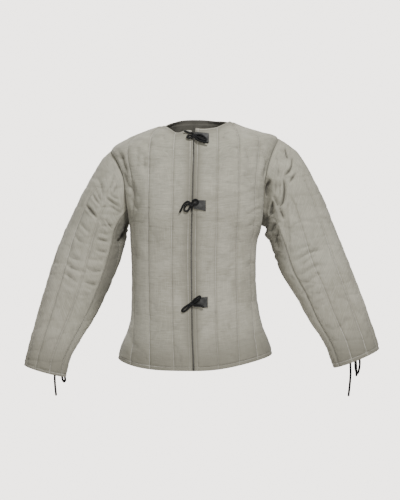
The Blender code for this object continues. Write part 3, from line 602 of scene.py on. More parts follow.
def tuck(column, ring):
    """The right under sleeve is tucked into the opening under the arm: new columns, and how deep."""
    rings = [row.ring for row in RIGHT_VENT] + [RIGHT_VENT[-1].ring + 1.6]
    edge = np.interp(ring, rings, [row.column for row in RIGHT_VENT] + [VENT_COLUMN])
    share = (column - FRONT_SEAM) / (VENT_COLUMN - FRONT_SEAM)
    past = (column - VENT_COLUMN) / (BACK_SEAM - VENT_COLUMN)
    moved = np.where(share < 1, FRONT_SEAM + share * (edge - FRONT_SEAM), edge + past * (BACK_SEAM - edge))
    tucked = smoothstep(share) ** 1.5 * smoothstep((VENT_LIP[-2] - (column - VENT_COLUMN)) / VENT_LIP[-2])
    return moved, VENT_DEPTH * tucked * smoothstep((RIGHT_VENT[-1].ring + 0.5 - ring) / 0.9)


def armhole(side, column):
    """The armhole seam of the body at sleeve columns: its points and the body's directions there."""
    column = np.asarray(column, float) % SLEEVE_COLUMNS
    front = column <= ROWS_AT_ARM
    row = np.where(front, ROWS_AT_ARM - column, column - ROWS_AT_ARM)
    ring = UNDERARM + (SHOULDER - UNDERARM) * np.interp(row, np.arange(ROWS_AT_ARM + 1), ARMHOLE_ROWS)
    angle = np.where(front, edge_angle(ring, "front"), math.pi - edge_angle(ring, "back"))
    return body_point(side, ring, angle), body_normal(side, ring, angle)


def seam_direction(side, column):
    """The direction that the body and the sleeve share along the armhole seam."""
    table = RIGHT_SLEEVE if side < 0 else LEFT_SLEEVE
    column = np.asarray(column, float)
    return unit(armhole(side, column)[1] + sleeve_direction(side, table, np.zeros_like(column), column))


# Fine grids of the cloth.


def refined(table, rows, columns):
    """A table of numbers at fractional rows and columns."""
    table = np.asarray(table, float)
    down = np.stack([np.interp(rows, np.arange(len(table)), line) for line in table.T], axis=1)
    return np.stack([np.interp(columns, np.arange(table.shape[1]), line) for line in down])


def fine_columns(lines):
    """Column numbers that crowd at each of the sewn lines."""
    made = []
    for first, last in zip(lines, lines[1:]):
        made += [first + (last - first) * share for share in ACROSS_CHANNEL]
    return np.array([*made, lines[-1]])


def crowded(numbers, edges, near=(0.006, 0.02, 0.045, 0.09)):
    """Row numbers with more of them beside the places in edges."""
    extra = [edge + sign * step * 5 for edge in edges for step in near for sign in (-1, 1)]
    every = np.concatenate([numbers, extra, edges])
    every = every[(every >= numbers[0]) & (every <= numbers[-1])]
    return np.unique(every.round(4))


def along(places, axis):
    """Distances along the rows (axis 1) or the columns (axis 0) of a grid of points."""
    steps = np.linalg.norm(np.diff(places, axis=axis), axis=-1)
    start = np.zeros_like(steps[:, :1] if axis == 1 else steps[:1])
    return np.concatenate([start, np.cumsum(steps, axis=axis)], axis=axis)


def left_shift(side, places):
    """How far the left side's cloth lies from the solids."""
    moved = np.zeros_like(places)
    for shift in LEFT_SHIFTS if side > 0 else ():
        far = (places / MM - shift.place) / shift.spread
        moved += np.exp(-(far**2).sum(axis=-1, keepdims=True) / 2.0) * np.array(shift.move) * MM
    return moved


def row_rings():
    """The rows of a front's or back's cloth: their numbers and their rings."""
    coarse = body_rings()
    number = crowded(np.linspace(0, len(coarse) - 1, ROW_STEPS * (len(coarse) - 1) + 1), BODY_STITCH_ROWS)
    return number, np.interp(number, np.arange(len(coarse)), coarse)


def front_middle(side):
    """How far to the left the middle of the front opening lies, for each row."""
    return np.array([body_point(side, ring, np.zeros(1))[0, 0] for ring in row_rings()[1]])


def body_cloth(side, half):
    """The surface of a front or back: its points, directions, line numbers and distances to its edges."""
    number, rings = row_rings()
    lines = range(0, COLUMNS_PER_CHANNEL * 4 + 1, COLUMNS_PER_CHANNEL)
    fine = fine_columns(list(lines))
    if half == "front":
        fine = np.unique(np.concatenate([fine, FRONT_STITCH + np.array([-0.08, -0.03, 0.0, 0.03, 0.08])]))
    places, normals = [], []
    for ring in rings:
        turn = np.linspace(0.0, edge_angle(ring, half), 121)
        angle = turn if half == "front" else math.pi - turn
        line = body_point(side, ring, angle)
        far = np.concatenate([[0.0], np.cumsum(np.linalg.norm(np.diff(line, axis=0), axis=1))])
        gap = np.interp(ring, *zip(*FRONT_GAPS)) * MM if half == "front" else 0.0
        columns = columns_on(far[-1], gap, QUILT_LINES[side, half])
        inner = np.arange(1, len(columns) - 1)
        wander = [inner / 3.1, np.full(inner.shape, ring / 1.7), np.full(inner.shape, side * 2.5)]
        columns[1:-1] += WOBBLE * noise(np.stack(wander, axis=-1), 1.0, WOBBLE_SEED)
        angle = np.interp(np.interp(fine, np.arange(len(columns)), columns), far, angle)
        places.append(body_point(side, ring, angle))
        normals.append(body_normal(side, ring, angle))
    places, normals = np.array(places), np.array(normals)
    share = (rings - UNDERARM) / (SHOULDER - UNDERARM)
    row = np.interp(np.clip(share, 0, 1), ARMHOLE_ROWS, np.arange(ROWS_AT_ARM + 1))
    column = ROWS_AT_ARM - row if half == "front" else ROWS_AT_ARM + row
    across, down = along(places, 1), along(places, 0)
    beside_arm = ((share >= 0) & (share <= 1))[:, None]
    from_end = across[:, -1:] - across
    pull = np.exp(-from_end / SEAM_TURN) * beside_arm
    normals = unit(normals + (seam_direction(side, column)[:, None] - normals) * pull[..., None])
    if half == "front":
        rounded = np.exp(-across / (9 * MM)) * np.exp(-(down[-1] - down) / (9 * MM))
        places[..., 2] -= (CORNER_DROP if side < 0 else CORNER_LIFT) * rounded
    if half == "front" and side < 0:
        dip = np.exp(-(((across - NECK_DIP.across) / NECK_DIP.breadth) ** 2))
        places[..., 2] -= NECK_DIP.depth * dip * np.exp(-(down[-1] - down) / NECK_DIP.reach)
    if half == "back":
        rise = NECK_RISE.depth * np.exp(-((across / NECK_RISE.breadth) ** 2))
        places[..., 2] += rise * np.exp(-(down[-1] - down) / NECK_RISE.reach)
    places += left_shift(side, places)
    edges = {"seam_end": from_end, "hem": down, "neck": down[-1] - down}
    edges["free_start" if half == "front" else "seam_start"] = across
    stitches = [abs(down - down[np.argmin(abs(number - at))]) for at in BODY_STITCH_ROWS]
    if half == "front":
        stitches.append(abs(across - across[:, [np.argmin(abs(fine - FRONT_STITCH))]]))
    return places, normals, fine, lines, edges, stitches


def sleeve_cloth(side, part):
    """The surface of a top sleeve or under sleeve, as body_cloth gives it."""
    table = RIGHT_SLEEVE if side < 0 else LEFT_SLEEVE
    coarse_column, coarse_ring = sleeve_numbers(side, part)
    cuff_row = SLEEVE_ROWS - CUFF_STITCH
    number = np.linspace(0, SLEEVE_ROWS, SLEEVE_STEPS * SLEEVE_ROWS + 1)
    number = crowded(number, [0, cuff_row, SLEEVE_ROWS])
    wrapped = coarse_column[-1] % SLEEVE_COLUMNS
    lines = [k for k, name in enumerate(wrapped) if name in SLEEVE_LINES]
    fine = fine_columns(lines)
    if side < 0 and part == "under":
        fine = np.unique(np.concatenate([fine, VENT_COLUMN - FRONT_SEAM + np.array(VENT_LIP)]))
    column = refined(coarse_column, number, fine)
    ring = refined(coarse_ring, number, fine)
    sunk = np.zeros_like(ring)
    if side < 0 and part == "under":
        column, sunk = tuck(column, ring)
    seam = armhole(side, column)[0]
    off = seam - sleeve_section(table, np.zeros_like(column), column)
    fade = 1.0 - smoothstep(ring / ARMHOLE_BLEND)
    places = sleeve_section(table, ring, column) + off * fade[..., None]
    normals = sleeve_direction(side, table, ring, column)
    across, down = along(places, 1), along(places, 0)
    if side > 0:
        sunk = SLIT_DEPTH * np.clip(ring[:1] / 0.18, 0.0, 1.0) * np.exp(-((down / SLIT_REACH) ** 2))
    attached = ring[:1] < 0.3
    pull = np.exp(-down / SEAM_TURN) * attached
    normals = unit(normals + (seam_direction(side, column) - normals) * pull[..., None])
    places = places - normals * sunk[..., None]
    places += left_shift(side, places)
    far = 1.0
    edges = {
        "seam_start": across,
        "seam_end": across[:, -1:] - across,
        "seam_top": np.where(ring[:1] < 0.05, down, far),
        "free_top": np.where(ring[:1] < 0.05, far, down),
        "cuff": down[-1] - down,
    }
    stitches = [abs(down - down[np.argmin(abs(number - cuff_row))])]
    return places, normals, fine, lines, edges, stitches


# Relief of the quilted cloth.


def noise(places, size, seed):
    """Smooth noise from -1 to 1 at points, with lumps about as large as size (one number or three)."""
    at = np.asarray(places) / np.asarray(size, float)
    cell = np.floor(at).astype(np.int64)
    t = at - cell
    t = t * t * (3.0 - 2.0 * t)
    total = np.zeros(at.shape[:-1])
    for corner in np.ndindex(2, 2, 2):
        key = (cell + corner + 4096) & 0x1FFF
        mixed = key[..., 0] * 73856093 ^ key[..., 1] * 19349663 ^ key[..., 2] * 83492791 ^ seed * 2654435
        mixed = (mixed ^ (mixed >> 13)) * 1274126177 & 0xFFFFFFFF
        value = ((mixed ^ (mixed >> 16)) & 0xFFFF) / 32767.5 - 1.0
        weight = np.ones(at.shape[:-1])
        for axis in range(3):
            weight = weight * (t[..., axis] if corner[axis] else 1.0 - t[..., axis])
        total += value * weight
    return total


def lumps(places, kind):
    return noise(places, np.array(kind.size) * MM, kind.seed)


def fold_press(folds, places, normals):
    """How far the folds press the cloth in, and how dark the painted shade at their bottoms is, from 0 to 1.

    Folds are placed in the front view, on cloth that faces it.
    """
    pressed = np.zeros(places.shape[:-1])
    fold_shade = np.zeros(places.shape[:-1])
    x, z = places[..., 0] / MM, places[..., 2] / MM
    for fold in folds:
        route = between(np.array(fold.route, float), np.linspace(0, len(fold.route) - 1, 24))
        best = np.full(x.shape, 1e9)
        share = np.zeros(x.shape)
        sign = np.ones(x.shape)
        for k, (start, end) in enumerate(zip(route, route[1:])):
            step = end - start
            t = ((x - start[0]) * step[0] + (z - start[1]) * step[1]) / (step @ step)
            t = np.clip(t, 0.0, 1.0)
            to_x, to_z = x - start[0] - t * step[0], z - start[1] - t * step[1]
            gap = np.hypot(to_x, to_z)
            closer = gap < best
            best = np.where(closer, gap, best)
            share = np.where(closer, (k + t) / (len(route) - 1), share)
            sign = np.where(closer, np.sign(to_x * step[1] - to_z * step[0]), sign)
        fade = smoothstep(1.0 - np.abs(2.0 * share - 1.0) ** 2)
        trough = np.exp(-((best / fold.breadth) ** 1.2))
        ridge = np.exp(-(((best - 1.9 * fold.breadth) / (0.9 * fold.breadth)) ** 2)) * (0.20 + 0.12 * sign)
        pressed += FOLD_GAIN * fold.depth * MM * (trough - ridge) * fade
        taper = np.sin(math.pi * np.clip(share, 0.0, 1.0)) ** 0.8
        width = np.where(sign > 0, SOFT_CRACK, SHARP_CRACK) * (0.35 + 0.65 * taper)
        strength = (max(fold.depth, 0.0) / 6.5) ** 1.2 * min(1.0, 5.0 / fold.breadth)
        fold_shade = np.maximum(fold_shade, np.exp(-((best / width) ** 2)) * taper * strength)
    facing = smoothstep(-normals[..., 1] * 2.2 + 0.1)
    return pressed * facing, np.minimum(fold_shade, 1.0) * facing


def rounding(far, radius):
    """How far an edge of the cloth curves in, at a distance from it."""
    inside = np.clip(radius - far, 0.0, radius)
    return radius - np.sqrt(np.maximum(radius**2 - inside**2, 0.0))


def cloth_wall(name, side, cloth, folds):
    """A quilted panel with its relief, as one closed mesh that replaces the solid of the same name."""
    places, normals, fine, lines, edges, stitches = cloth
    across, down = along(places, 1), along(places, 0)
    line_at = across[:, [int(np.argmin(abs(fine - line))) for line in lines]]
    to_line = np.abs(across[..., None] - line_at[:, None, :]).min(axis=-1)
    widths = np.diff(line_at, axis=1)
    channel = np.clip(np.searchsorted(lines, fine, side="right") - 1, 0, len(lines) - 2)
    half = np.maximum(widths[:, channel] / 2.0, 4 * MM)
    crown = (1.0 - np.clip(to_line / half, 0.0, 1.0)) ** 2
    if name.startswith("sleeve"):
        faded = 1.0 - smoothstep((down - LINE_FADE[side]) / (45 * MM))
        to_line = to_line + 30 * MM * faded
        crown = crown * (1.0 - faded)
    seams = [edges[key] for key in edges if key.startswith("seam")]
    seam = np.minimum.reduce([*seams, np.ones_like(across)])
    free = np.minimum.reduce([edges[key] for key in edges if not key.startswith("seam")])
    to_stitch = np.minimum.reduce([np.ones_like(across), *stitches])
    hemmed = 1.0 - smoothstep((free - 8 * MM) / (6 * MM))
    still = smoothstep(np.minimum(seam, free + 6 * MM) / (14 * MM))
    groove = GROOVE * np.exp(-to_line / (3.2 * MM)) + CROWN * crown
    groove = groove * (1.0 - 0.55 * hemmed) + hemmed * HEM_DROP
    groove += STITCH_DROP * np.exp(-to_stitch / (1.8 * MM)) + SEAM_DROP * np.exp(-seam / (2.0 * MM))
    pucker = lumps(places, PUCKERS) * np.exp(-np.minimum(to_line, to_stitch) / (11 * MM))
    arm = name.startswith("sleeve")
    crumple = lumps(places, CRUMPLES) + 0.6 * lumps(places, SMALL_CRUMPLES)
    sway = lumps(places, SWAYS)
    creased = (1.0 - abs(lumps(places, CREASES))) ** 7
    creased += 0.5 * (1.0 - abs(lumps(places, SMALL_CREASES))) ** 9
    if arm:
        under = smoothstep((150 * MM - down) / (90 * MM)) * (1.0 if name.endswith("under") else 0.25)
        gathered = (1.0 - abs(lumps(places, GATHERS))) ** 3 * under
    else:
        gathered = np.zeros_like(creased)
    pressed, fold_shade = fold_press(folds, places, normals)
    pressed = pressed * smoothstep(seam / (9 * MM)) * smoothstep(free / (6 * MM))
    sharp = ((1.3 if arm else 0.8) * creased + 3.4 * gathered) * MM * still
    move = PUCKER * pucker + (0.9 if arm else 0.5) * MM * crumple + 1.2 * MM * sway
    move = move * still - pressed - sharp
    # Painted shade: dark fold bottoms, and a little in the small creases and gathers.
    painted_shade = np.clip(fold_shade + 0.28 * still * (creased + 1.6 * gathered), 0.0, 1.0)
    # Painted shade on the under sleeves, darkest near the armhole.
    if name.endswith("under"):
        painted_shade = np.maximum(painted_shade, UNDER_SHADE[side] * smoothstep((UNDER_REACH[side] - down) / UNDER_FADE))
    # Painted shade in the hollow at the front of the left armhole, on cloth that faces forward.
    if arm and side > 0:
        off = (places[..., [0, 2]] / MM - HOLLOW) / HOLLOW_SPREAD
        front_facing = smoothstep(0.4 - normals[..., 1])
        painted_shade = np.maximum(painted_shade, HOLLOW_SHADE * np.exp(-(off**2).sum(axis=-1)) * front_facing)
    base = places + normals * move[..., None]
    round_off = rounding(free, EDGE_RADIUS)
    outer = base - normals * (groove + round_off)[..., None]
    thin = hemmed * HEM_THIN
    inner_lift = round_off + thin + 0.9 * MM * (1.0 - crown) * -1.0 * still
    inner = base - normals * (WALL - inner_lift)[..., None]
    if name.startswith("front"):
        lip = smoothstep((LIP_TOP - down[:, 0]) / LIP_FADE)
        inner[:, 0, 0] += (front_middle(side) + side * LIP_GAP - inner[:, 0, 0]) * lip
        inner[:, 0, 1] -= (2.0 + side) * LIP_RISE * lip
    foot = edges["cuff"] if arm else edges["hem"]
    # How far from the hem or cuff, and from the free edges, the canvas is darkened.
    darkening_distance = np.minimum(foot, 3.5 * free)
    fields = {
        "line": (np.minimum(to_line, to_stitch), 1.0), "seam": (seam, 30 * MM), "edge": (darkening_distance, 1.0),
        "painted_shade": (painted_shade * MM, 0.0), "inside": (np.zeros_like(seam), MM),
    }
    made = wall_mesh(name, outer, inner, across, down, fields)
    made.data.materials.append(CANVAS)
    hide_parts(name)
    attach(made, "root")
    return outer


def grid_quads(index):
    """The faces of a grid, from the table of its points' numbers."""
    corners = index[:-1, :-1], index[:-1, 1:], index[1:, 1:], index[1:, :-1]
    return np.stack(corners, axis=-1).reshape(-1, 4)


def wall_mesh(name, outer, inner, across, down, fields):
    """A closed wall between two grids, with its cut laid out in metres as the UV map."""
    rows, columns = outer.shape[:2]
    count = rows * columns
    index = np.arange(count).reshape(rows, columns)
    quads = grid_quads(index)
    rim = np.concatenate([index[0, :-1], index[:-1, -1], index[-1, :0:-1], index[:0:-1, 0]])
    after = np.roll(rim, -1)
    sides = np.stack([after, rim, rim + count, after + count], axis=-1)
    faces = np.concatenate([quads, quads[:, ::-1] + count, sides])
    mesh = bpy.data.meshes.new(name + "_cloth")
    mesh.from_pydata(np.concatenate([outer, inner]).reshape(-1, 3).tolist(), [], faces.tolist())
    uv = np.stack([across - across[:, -1:] / 2.0, down], axis=-1).reshape(-1, 2)
    uv = np.concatenate([uv, uv])
    layer = mesh.uv_layers.new(name="UVMap")
    corner = np.zeros(len(mesh.loops), dtype=np.int64)
    mesh.loops.foreach_get("vertex_index", corner)
    layer.data.foreach_set("uv", uv[corner].ravel().astype(np.float32))
    for key, (values, inside) in fields.items():
        field = mesh.attributes.new(key, "FLOAT", "POINT")
        once = values.ravel()
        again = once if key == "line" else np.full(count, inside)
        field.data.foreach_set("value", (np.concatenate([once, again]) / MM).astype(np.float32))
    build = bmesh.new()
    build.from_mesh(mesh)
    bmesh.ops.recalc_face_normals(build, faces=build.faces)
    build.to_mesh(mesh)
    build.free()
    mesh.shade_smooth()
    made = bpy.data.objects.new(name + "_cloth", mesh)
    bpy.context.scene.collection.objects.link(made)
    return made


# Materials.


class Nodes:
    """Short ways to add shader nodes and join them."""

    def __init__(self, name, roughness, specular=0.3):
        self.material = bpy.data.materials.new(name)
        self.material.use_nodes = True
        self.tree = self.material.node_tree
        self.shader = self.tree.nodes["Principled BSDF"]
        self.shader.inputs["Roughness"].default_value = roughness
        self.shader.inputs["Specular IOR Level"].default_value = specular

    def node(self, kind, inputs=(), **settings):
        made = self.tree.nodes.new("ShaderNode" + kind)
        for key, value in settings.items():
            setattr(made, key, value)
        for key, value in dict(inputs).items():
            if isinstance(value, bpy.types.NodeSocket):
                self.tree.links.new(value, made.inputs[key])
            else:
                made.inputs[key].default_value = value
        return made

    def math(self, operation, first, second=0.0, third=0.0):
        return self.node("Math", {0: first, 1: second, 2: third}, operation=operation).outputs[0]

    def span(self, value, low, high, to_low=0.0, to_high=1.0):
        numbers = {0: value, 1: low, 2: high, 3: to_low, 4: to_high}
        return self.node("MapRange", numbers, interpolation_type="SMOOTHSTEP").outputs[0]

    def noise(self, where, scale, detail=2.0, roughness=0.5):
        numbers = {"Vector": where, "Scale": scale, "Detail": detail, "Roughness": roughness}
        return self.node("TexNoise", numbers).outputs["Fac"]

    def stretched(self, where, scale):
        return self.node("Mapping", {"Vector": where, "Scale": scale}).outputs[0]

    def mix(self, share, first, second, blend="MIX"):
        made = self.node("Mix", data_type="RGBA", blend_type=blend)
        for socket, value in zip((made.inputs[0], made.inputs[6], made.inputs[7]), (share, first, second)):
            if isinstance(value, bpy.types.NodeSocket):
                self.tree.links.new(value, socket)
            else:
                socket.default_value = value
        return made.outputs[2]

    def bump(self, height, strength, distance, onto=None):
        inputs = {"Height": height, "Strength": strength, "Distance": distance}
        if onto is not None:
            inputs["Normal"] = onto
        return self.node("Bump", inputs).outputs[0]

    def finish(self, colour, normal, roughness=None):
        self.tree.links.new(colour, self.shader.inputs["Base Color"])
        self.tree.links.new(normal, self.shader.inputs["Normal"])
        if roughness is not None:
            self.tree.links.new(roughness, self.shader.inputs["Roughness"])
        return self.material


def canvas_material():
    """Undyed cotton canvas: a plain weave with slubs, pale thread, darker towards the hems and edges, and
    painted shade in folds, seams, grooves and inside.
    """
    n = Nodes("canvas", 0.93, 0.18)
    uv = n.node("UVMap", uv_map="UVMap").outputs[0]
    here = n.node("TexCoord").outputs["Object"]
    line = n.node("Attribute", attribute_name="line").outputs["Fac"]
    seam = n.node("Attribute", attribute_name="seam").outputs["Fac"]
    edge = n.node("Attribute", attribute_name="edge").outputs["Fac"]
    painted_shade = n.node("Attribute", attribute_name="painted_shade").outputs["Fac"]
    inside = n.node("Attribute", attribute_name="inside").outputs["Fac"]
    parts = n.node("SeparateXYZ", {0: uv})
    turns = 2.0 * math.pi / THREAD
    warp = n.math("SINE", n.math("MULTIPLY", parts.outputs[0], turns))
    weft = n.math("SINE", n.math("MULTIPLY", parts.outputs[1], turns))
    weave = n.math("MULTIPLY", warp, weft)
    slub_across = n.noise(n.stretched(uv, (34.0, 300.0, 1.0)), 1.0, 4.0, 0.62)
    slub_down = n.noise(n.stretched(uv, (330.0, 20.0, 1.0)), 1.0, 3.0, 0.55)
    fleck = n.noise(n.stretched(uv, (150.0, 420.0, 1.0)), 1.0, 2.0)
    cloud = n.noise(here, 9.0, 4.0, 0.6)
    broad = n.noise(here, 2.6, 1.0)
    colour = n.mix(n.span(cloud, 0.35, 0.68), CLOTH_DARK, CLOTH_LIGHT)
    colour = n.mix(n.span(broad, 0.38, 0.64, 0.0, 0.35), colour, CLOTH_GREEN)
    colour = n.mix(n.span(slub_across, 0.50, 0.70, 0.0, 0.36), colour, CLOTH_SLUB)
    colour = n.mix(n.span(slub_across, 0.48, 0.32, 0.0, 0.38), colour, CLOTH_SHADE)
    colour = n.mix(n.span(slub_down, 0.52, 0.70, 0.0, 0.26), colour, CLOTH_SLUB)
    colour = n.mix(n.span(fleck, 0.60, 0.72, 0.0, 0.40), colour, CLOTH_SHADE)
    # Darker towards the hems, cuffs and free edges, in uneven patches.
    edge_darkening = n.math("MULTIPLY", n.span(edge, 130.0, 3.0, 0.0, 1.0), n.span(cloud, 0.2, 0.6, 0.6, 1.0))
    colour = n.mix(edge_darkening, colour, CLOTH_SHADE)
    # Painted shade in the folds, creases, under the arms and in the left armhole's hollow.
    colour = n.mix(n.span(painted_shade, 0.05, 1.0, 0.0, 0.85), colour, CLOTH_PAINTED_SHADE)
    # Painted shade in the grooves beside the quilted lines and stitches.
    colour = n.mix(n.span(line, 7.0, 1.6, 0.0, 0.30), colour, CLOTH_SHADE)
    # Painted shade along the sewn seams.
    colour = n.mix(n.span(seam, 3.0, 0.3, 0.0, 0.22), colour, CLOTH_PAINTED_SHADE)
    broken = n.span(n.noise(uv, 300.0, 0.0), 0.30, 0.44, 0.35, 1.0)
    thread = n.math("MULTIPLY", n.span(line, 1.5, 0.7), broken)
    shown = n.math("MULTIPLY", thread, n.span(n.noise(here, 5.0, 1.0), 0.40, 0.62, 0.18, 0.55))
    colour = n.mix(shown, colour, THREAD_COLOUR)
    # Painted shade on the inner faces of the cloth.
    colour = n.mix(inside, colour, INSIDE_PAINTED_SHADE, "MULTIPLY")
    fine = n.bump(weave, 0.25, 0.00025)
    coarse = n.bump(n.math("ADD", slub_across, n.math("MULTIPLY", slub_down, 0.6)), 0.55, 0.0009, fine)
    lumps = n.bump(n.noise(here, 45.0, 4.0, 0.6), 0.45, 0.003, coarse)
    sewn = n.bump(thread, 0.6, 0.0005, lumps)
    n.shader.inputs["Sheen Weight"].default_value = 0.08
    n.shader.inputs["Sheen Roughness"].default_value = 0.5
    return n.finish(colour, sewn)


def leather_material():
    """Grey-black split leather, rubbed pale on its edges and high grain."""
    n = Nodes("leather", 0.62, 0.35)
    here = n.node("TexCoord").outputs["Object"]
    edge = n.node("Attribute", attribute_name="seam").outputs["Fac"]
    cells = n.node("TexVoronoi", {"Vector": here, "Scale": 900.0}, feature="DISTANCE_TO_EDGE")
    grain = cells.outputs["Distance"]
    cloud = n.noise(here, 90.0, 4.0, 0.65)
    colour = n.mix(n.span(cloud, 0.34, 0.66), LEATHER_DARK, LEATHER_LIGHT)
    colour = n.mix(n.span(edge, 1.8, 0.2, 0.0, 0.45), colour, LEATHER_RUBBED)
    colour = n.mix(n.span(grain, 0.10, 0.0, 0.0, 0.5), colour, LEATHER_DARK)
    rough = n.span(cloud, 0.3, 0.7, 0.72, 0.50)
    pebble = n.bump(n.math("MINIMUM", grain, 0.25), 0.5, 0.0006)
    return n.finish(colour, n.bump(cloud, 0.4, 0.0012, pebble), rough)


def lace_material():
    """Waxed black braid, a little grey where it is rubbed."""
    n = Nodes("lace", 0.7, 0.25)
    here = n.node("TexCoord").outputs["Object"]
    rise = n.node("Attribute", attribute_name="line").outputs["Fac"]
    fuzz = n.noise(here, 700.0, 3.0, 0.6)
    colour = n.mix(n.span(fuzz, 0.35, 0.7), LACE_DARK, LACE_LIGHT)
    colour = n.mix(n.span(rise, 0.55, 0.1, 0.0, 0.6), colour, LACE_DARK)
    return n.finish(colour, n.bump(fuzz, 0.5, 0.0004), n.span(fuzz, 0.3, 0.7, 0.62, 0.85))


# Laces, knots and tabs.


def smooth_route(points, step):
    """Points about step apart on the smooth curve through the given ones."""
    fine = between(points, np.linspace(0, len(points) - 1, 40 * (len(points) - 1) + 1))
    far = np.concatenate([[0.0], np.cumsum(np.linalg.norm(np.diff(fine, axis=0), axis=1))])
    at = np.linspace(0.0, far[-1], max(3, round(far[-1] / step) + 1))
    return np.stack([np.interp(at, far, fine[:, k]) for k in range(3)], axis=-1), far[-1]


def braid(name, routes, thick=LACE):
    """Round braided cord swept along each route, with rounded ends, as one mesh."""
    vertices, faces, rises = [], [], []
    for route in routes:
        direction = unit(np.gradient(route, axis=0))
        side = unit(np.cross(direction[0], (0.31, 0.42, 0.85)))
        far = 0.0
        first = len(vertices)
        last = len(route) - 1
        for k, (place, ahead) in enumerate(zip(route, direction)):
            side = unit(side - ahead * (side @ ahead))
            other = np.cross(ahead, side)
            far += np.linalg.norm(route[k] - route[k - 1]) if k else 0.0
            end = min(k, last - k)
            taper = (0.55, 0.88)[end] if end < 2 else 1.0
            for turn in np.arange(LACE_SIDES) * 2.0 * math.pi / LACE_SIDES:
                wave_1 = math.sin(3.0 * turn + far * BRAID_TURNS)
                wave_2 = math.sin(3.0 * turn - far * BRAID_TURNS)
                rise = max(wave_1, wave_2)
                radius = thick / 2.0 * taper * (0.955 + 0.045 * rise)
                vertices.append(place + (side * math.cos(turn) + other * math.sin(turn)) * radius)
                rises.append(1.0 - rise)
        rings = np.arange(first, len(vertices)).reshape(-1, LACE_SIDES)
        for low, high in zip(rings, rings[1:]):
            for k in range(LACE_SIDES):
                m = (k + 1) % LACE_SIDES
                faces.append([low[k], low[m], high[m], high[k]])
        faces += [rings[0][::-1].tolist(), rings[-1].tolist()]
    mesh = bpy.data.meshes.new(name)
    mesh.from_pydata([list(v) for v in vertices], [], [[int(k) for k in face] for face in faces])
    mesh.attributes.new("line", "FLOAT", "POINT").data.foreach_set("value", np.array(rises, np.float32))
    mesh.materials.append(CORD)
    mesh.shade_smooth()
    made = bpy.data.objects.new(name, mesh)
    bpy.context.scene.collection.objects.link(made)
    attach(made, "root")
    return made


def lay_lace(name, points, knot, thick=LACE):
    """A stretch of lace on its solid's route, led a little way into its knot."""
    points = np.array(points)
    ahead = knot + (points[0] - knot) * INTO_KNOT
    ends = [ahead, *points]
    if np.linalg.norm(points[-1] - knot) < LOOP_END:
        ends.append(knot + (points[-1] - knot) * INTO_KNOT)
    route, length = smooth_route(ends, LACE_STEP)
    made = braid(name + "_braid", [route], thick)
    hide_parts(name)
    return made


def tie_knot(name, centre):
    """A small knot: two turns of lace round a third."""
    routes = []
    turn = np.linspace(0.0, 2.0 * math.pi, 25)
    for tilt, wide, tall in KNOT_TURNS:
        x = np.cos(turn) * wide
        z = np.sin(turn) * tall
        y = np.sin(turn + tilt) * 1.1
        across = x * math.cos(tilt) - z * math.sin(tilt)
        up = x * math.sin(tilt) + z * math.cos(tilt)
        routes.append(centre + np.stack([across, y, up], axis=-1) * MM)
    made = braid(name + "_braid", routes)
    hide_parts(name)
    return made


def bow_place(bow, across, out, up):
    return np.array([bow.x + across, bow.y + bow.recline * up - out, bow.z + up]) * MM


def lay_laces():
    for number, bow in enumerate(BOWS, 1):
        knot = bow_place(bow, 0.0, bow.knot_out, 0.0)
        tie_knot(f"knot_{number}", knot)
        for name, route in BOW_ROUTES.items():
            if name.startswith(f"lace_{number}_"):
                lay_lace(name, [bow_place(bow, *place) for place in route], knot)
    for side, knot in CUFF_KNOTS.items():
        knot = np.array(knot) * MM
        tie_knot(f"cuff_knot_{side}", knot)
        for name, route in CUFF_ROUTES.items():
            if name.startswith(f"cuff_lace_{side}_"):
                lay_lace(name, knot + np.array(route) * MM, knot, CUFF_LACE)


def sew_tabs(front):
    """The leather tabs, bent to the cloth under them, with rounded edges."""
    corners = front.reshape(-1, 3)
    index = np.arange(len(corners)).reshape(front.shape[:2])
    quads = grid_quads(index)
    cloth = BVHTree.FromPolygons([tuple(p) for p in corners], [tuple(int(k) for k in q) for q in quads])
    ahead = Vector((0.0, 1.0, 0.0))
    steps = np.concatenate([TAB_EDGE, np.linspace(0.08, 0.92, 15), 1.0 - np.array(TAB_EDGE[::-1])])
    for number, tab in enumerate(TABS, 1):
        across, up = np.meshgrid(steps, steps)
        low = tab.inner_bottom + (tab.outer_bottom - tab.inner_bottom) * across
        high = tab.inner_top + (tab.outer_top - tab.inner_top) * across
        x = (tab.inner + (tab.outer - tab.inner) * across) * MM
        z = (low + (high - low) * up) * MM
        depth = np.full(x.shape, 1.0)
        for dx, dz in product(TAB_ACROSS, TAB_UP):
            for k in np.ndindex(x.shape):
                start = Vector((max(x[k] + dx * MM, TAB_START), BEFORE_CLOTH, z[k] + dz * MM))
                hit = cloth.ray_cast(start, ahead)[0]
                if hit is not None:
                    depth[k] = min(depth[k], hit.y)
        for _ in range(TAB_SMOOTHING):
            padded = np.pad(depth, 1, mode="edge")
            depth = (padded[:-2, 1:-1] + padded[2:, 1:-1] + padded[1:-1, :-2] + padded[1:-1, 2:]) / 4.0
        wide, tall = abs(tab.outer - tab.inner), abs(tab.inner_top - tab.inner_bottom)
        edge = np.minimum(np.minimum(across, 1 - across) * wide, np.minimum(up, 1 - up) * tall) * MM
        round_off = rounding(edge, TAB_ROUND)
        curl = TAB_CURL * noise(np.stack([x, x * 0 + number, z], axis=-1), 12 * MM, 4)
        back = np.stack([x, depth - TAB_CLEAR - TAB_OFF_CLOTH - np.maximum(curl, 0.0), z], axis=-1)
        front_skin = back - np.array([0.0, 1.0, 0.0]) * (TAB_THICK - round_off)[..., None]
        back_skin = back - np.array([0.0, 1.0, 0.0]) * round_off[..., None] * 0.5
        made = wall_mesh(f"tab_{number}", front_skin, back_skin, x, z, {"seam": (edge, 0.0)})
        made.data.materials.append(HIDE)
        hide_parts(f"tab_{number}")
        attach(made, "root")


# Stage, camera and light.


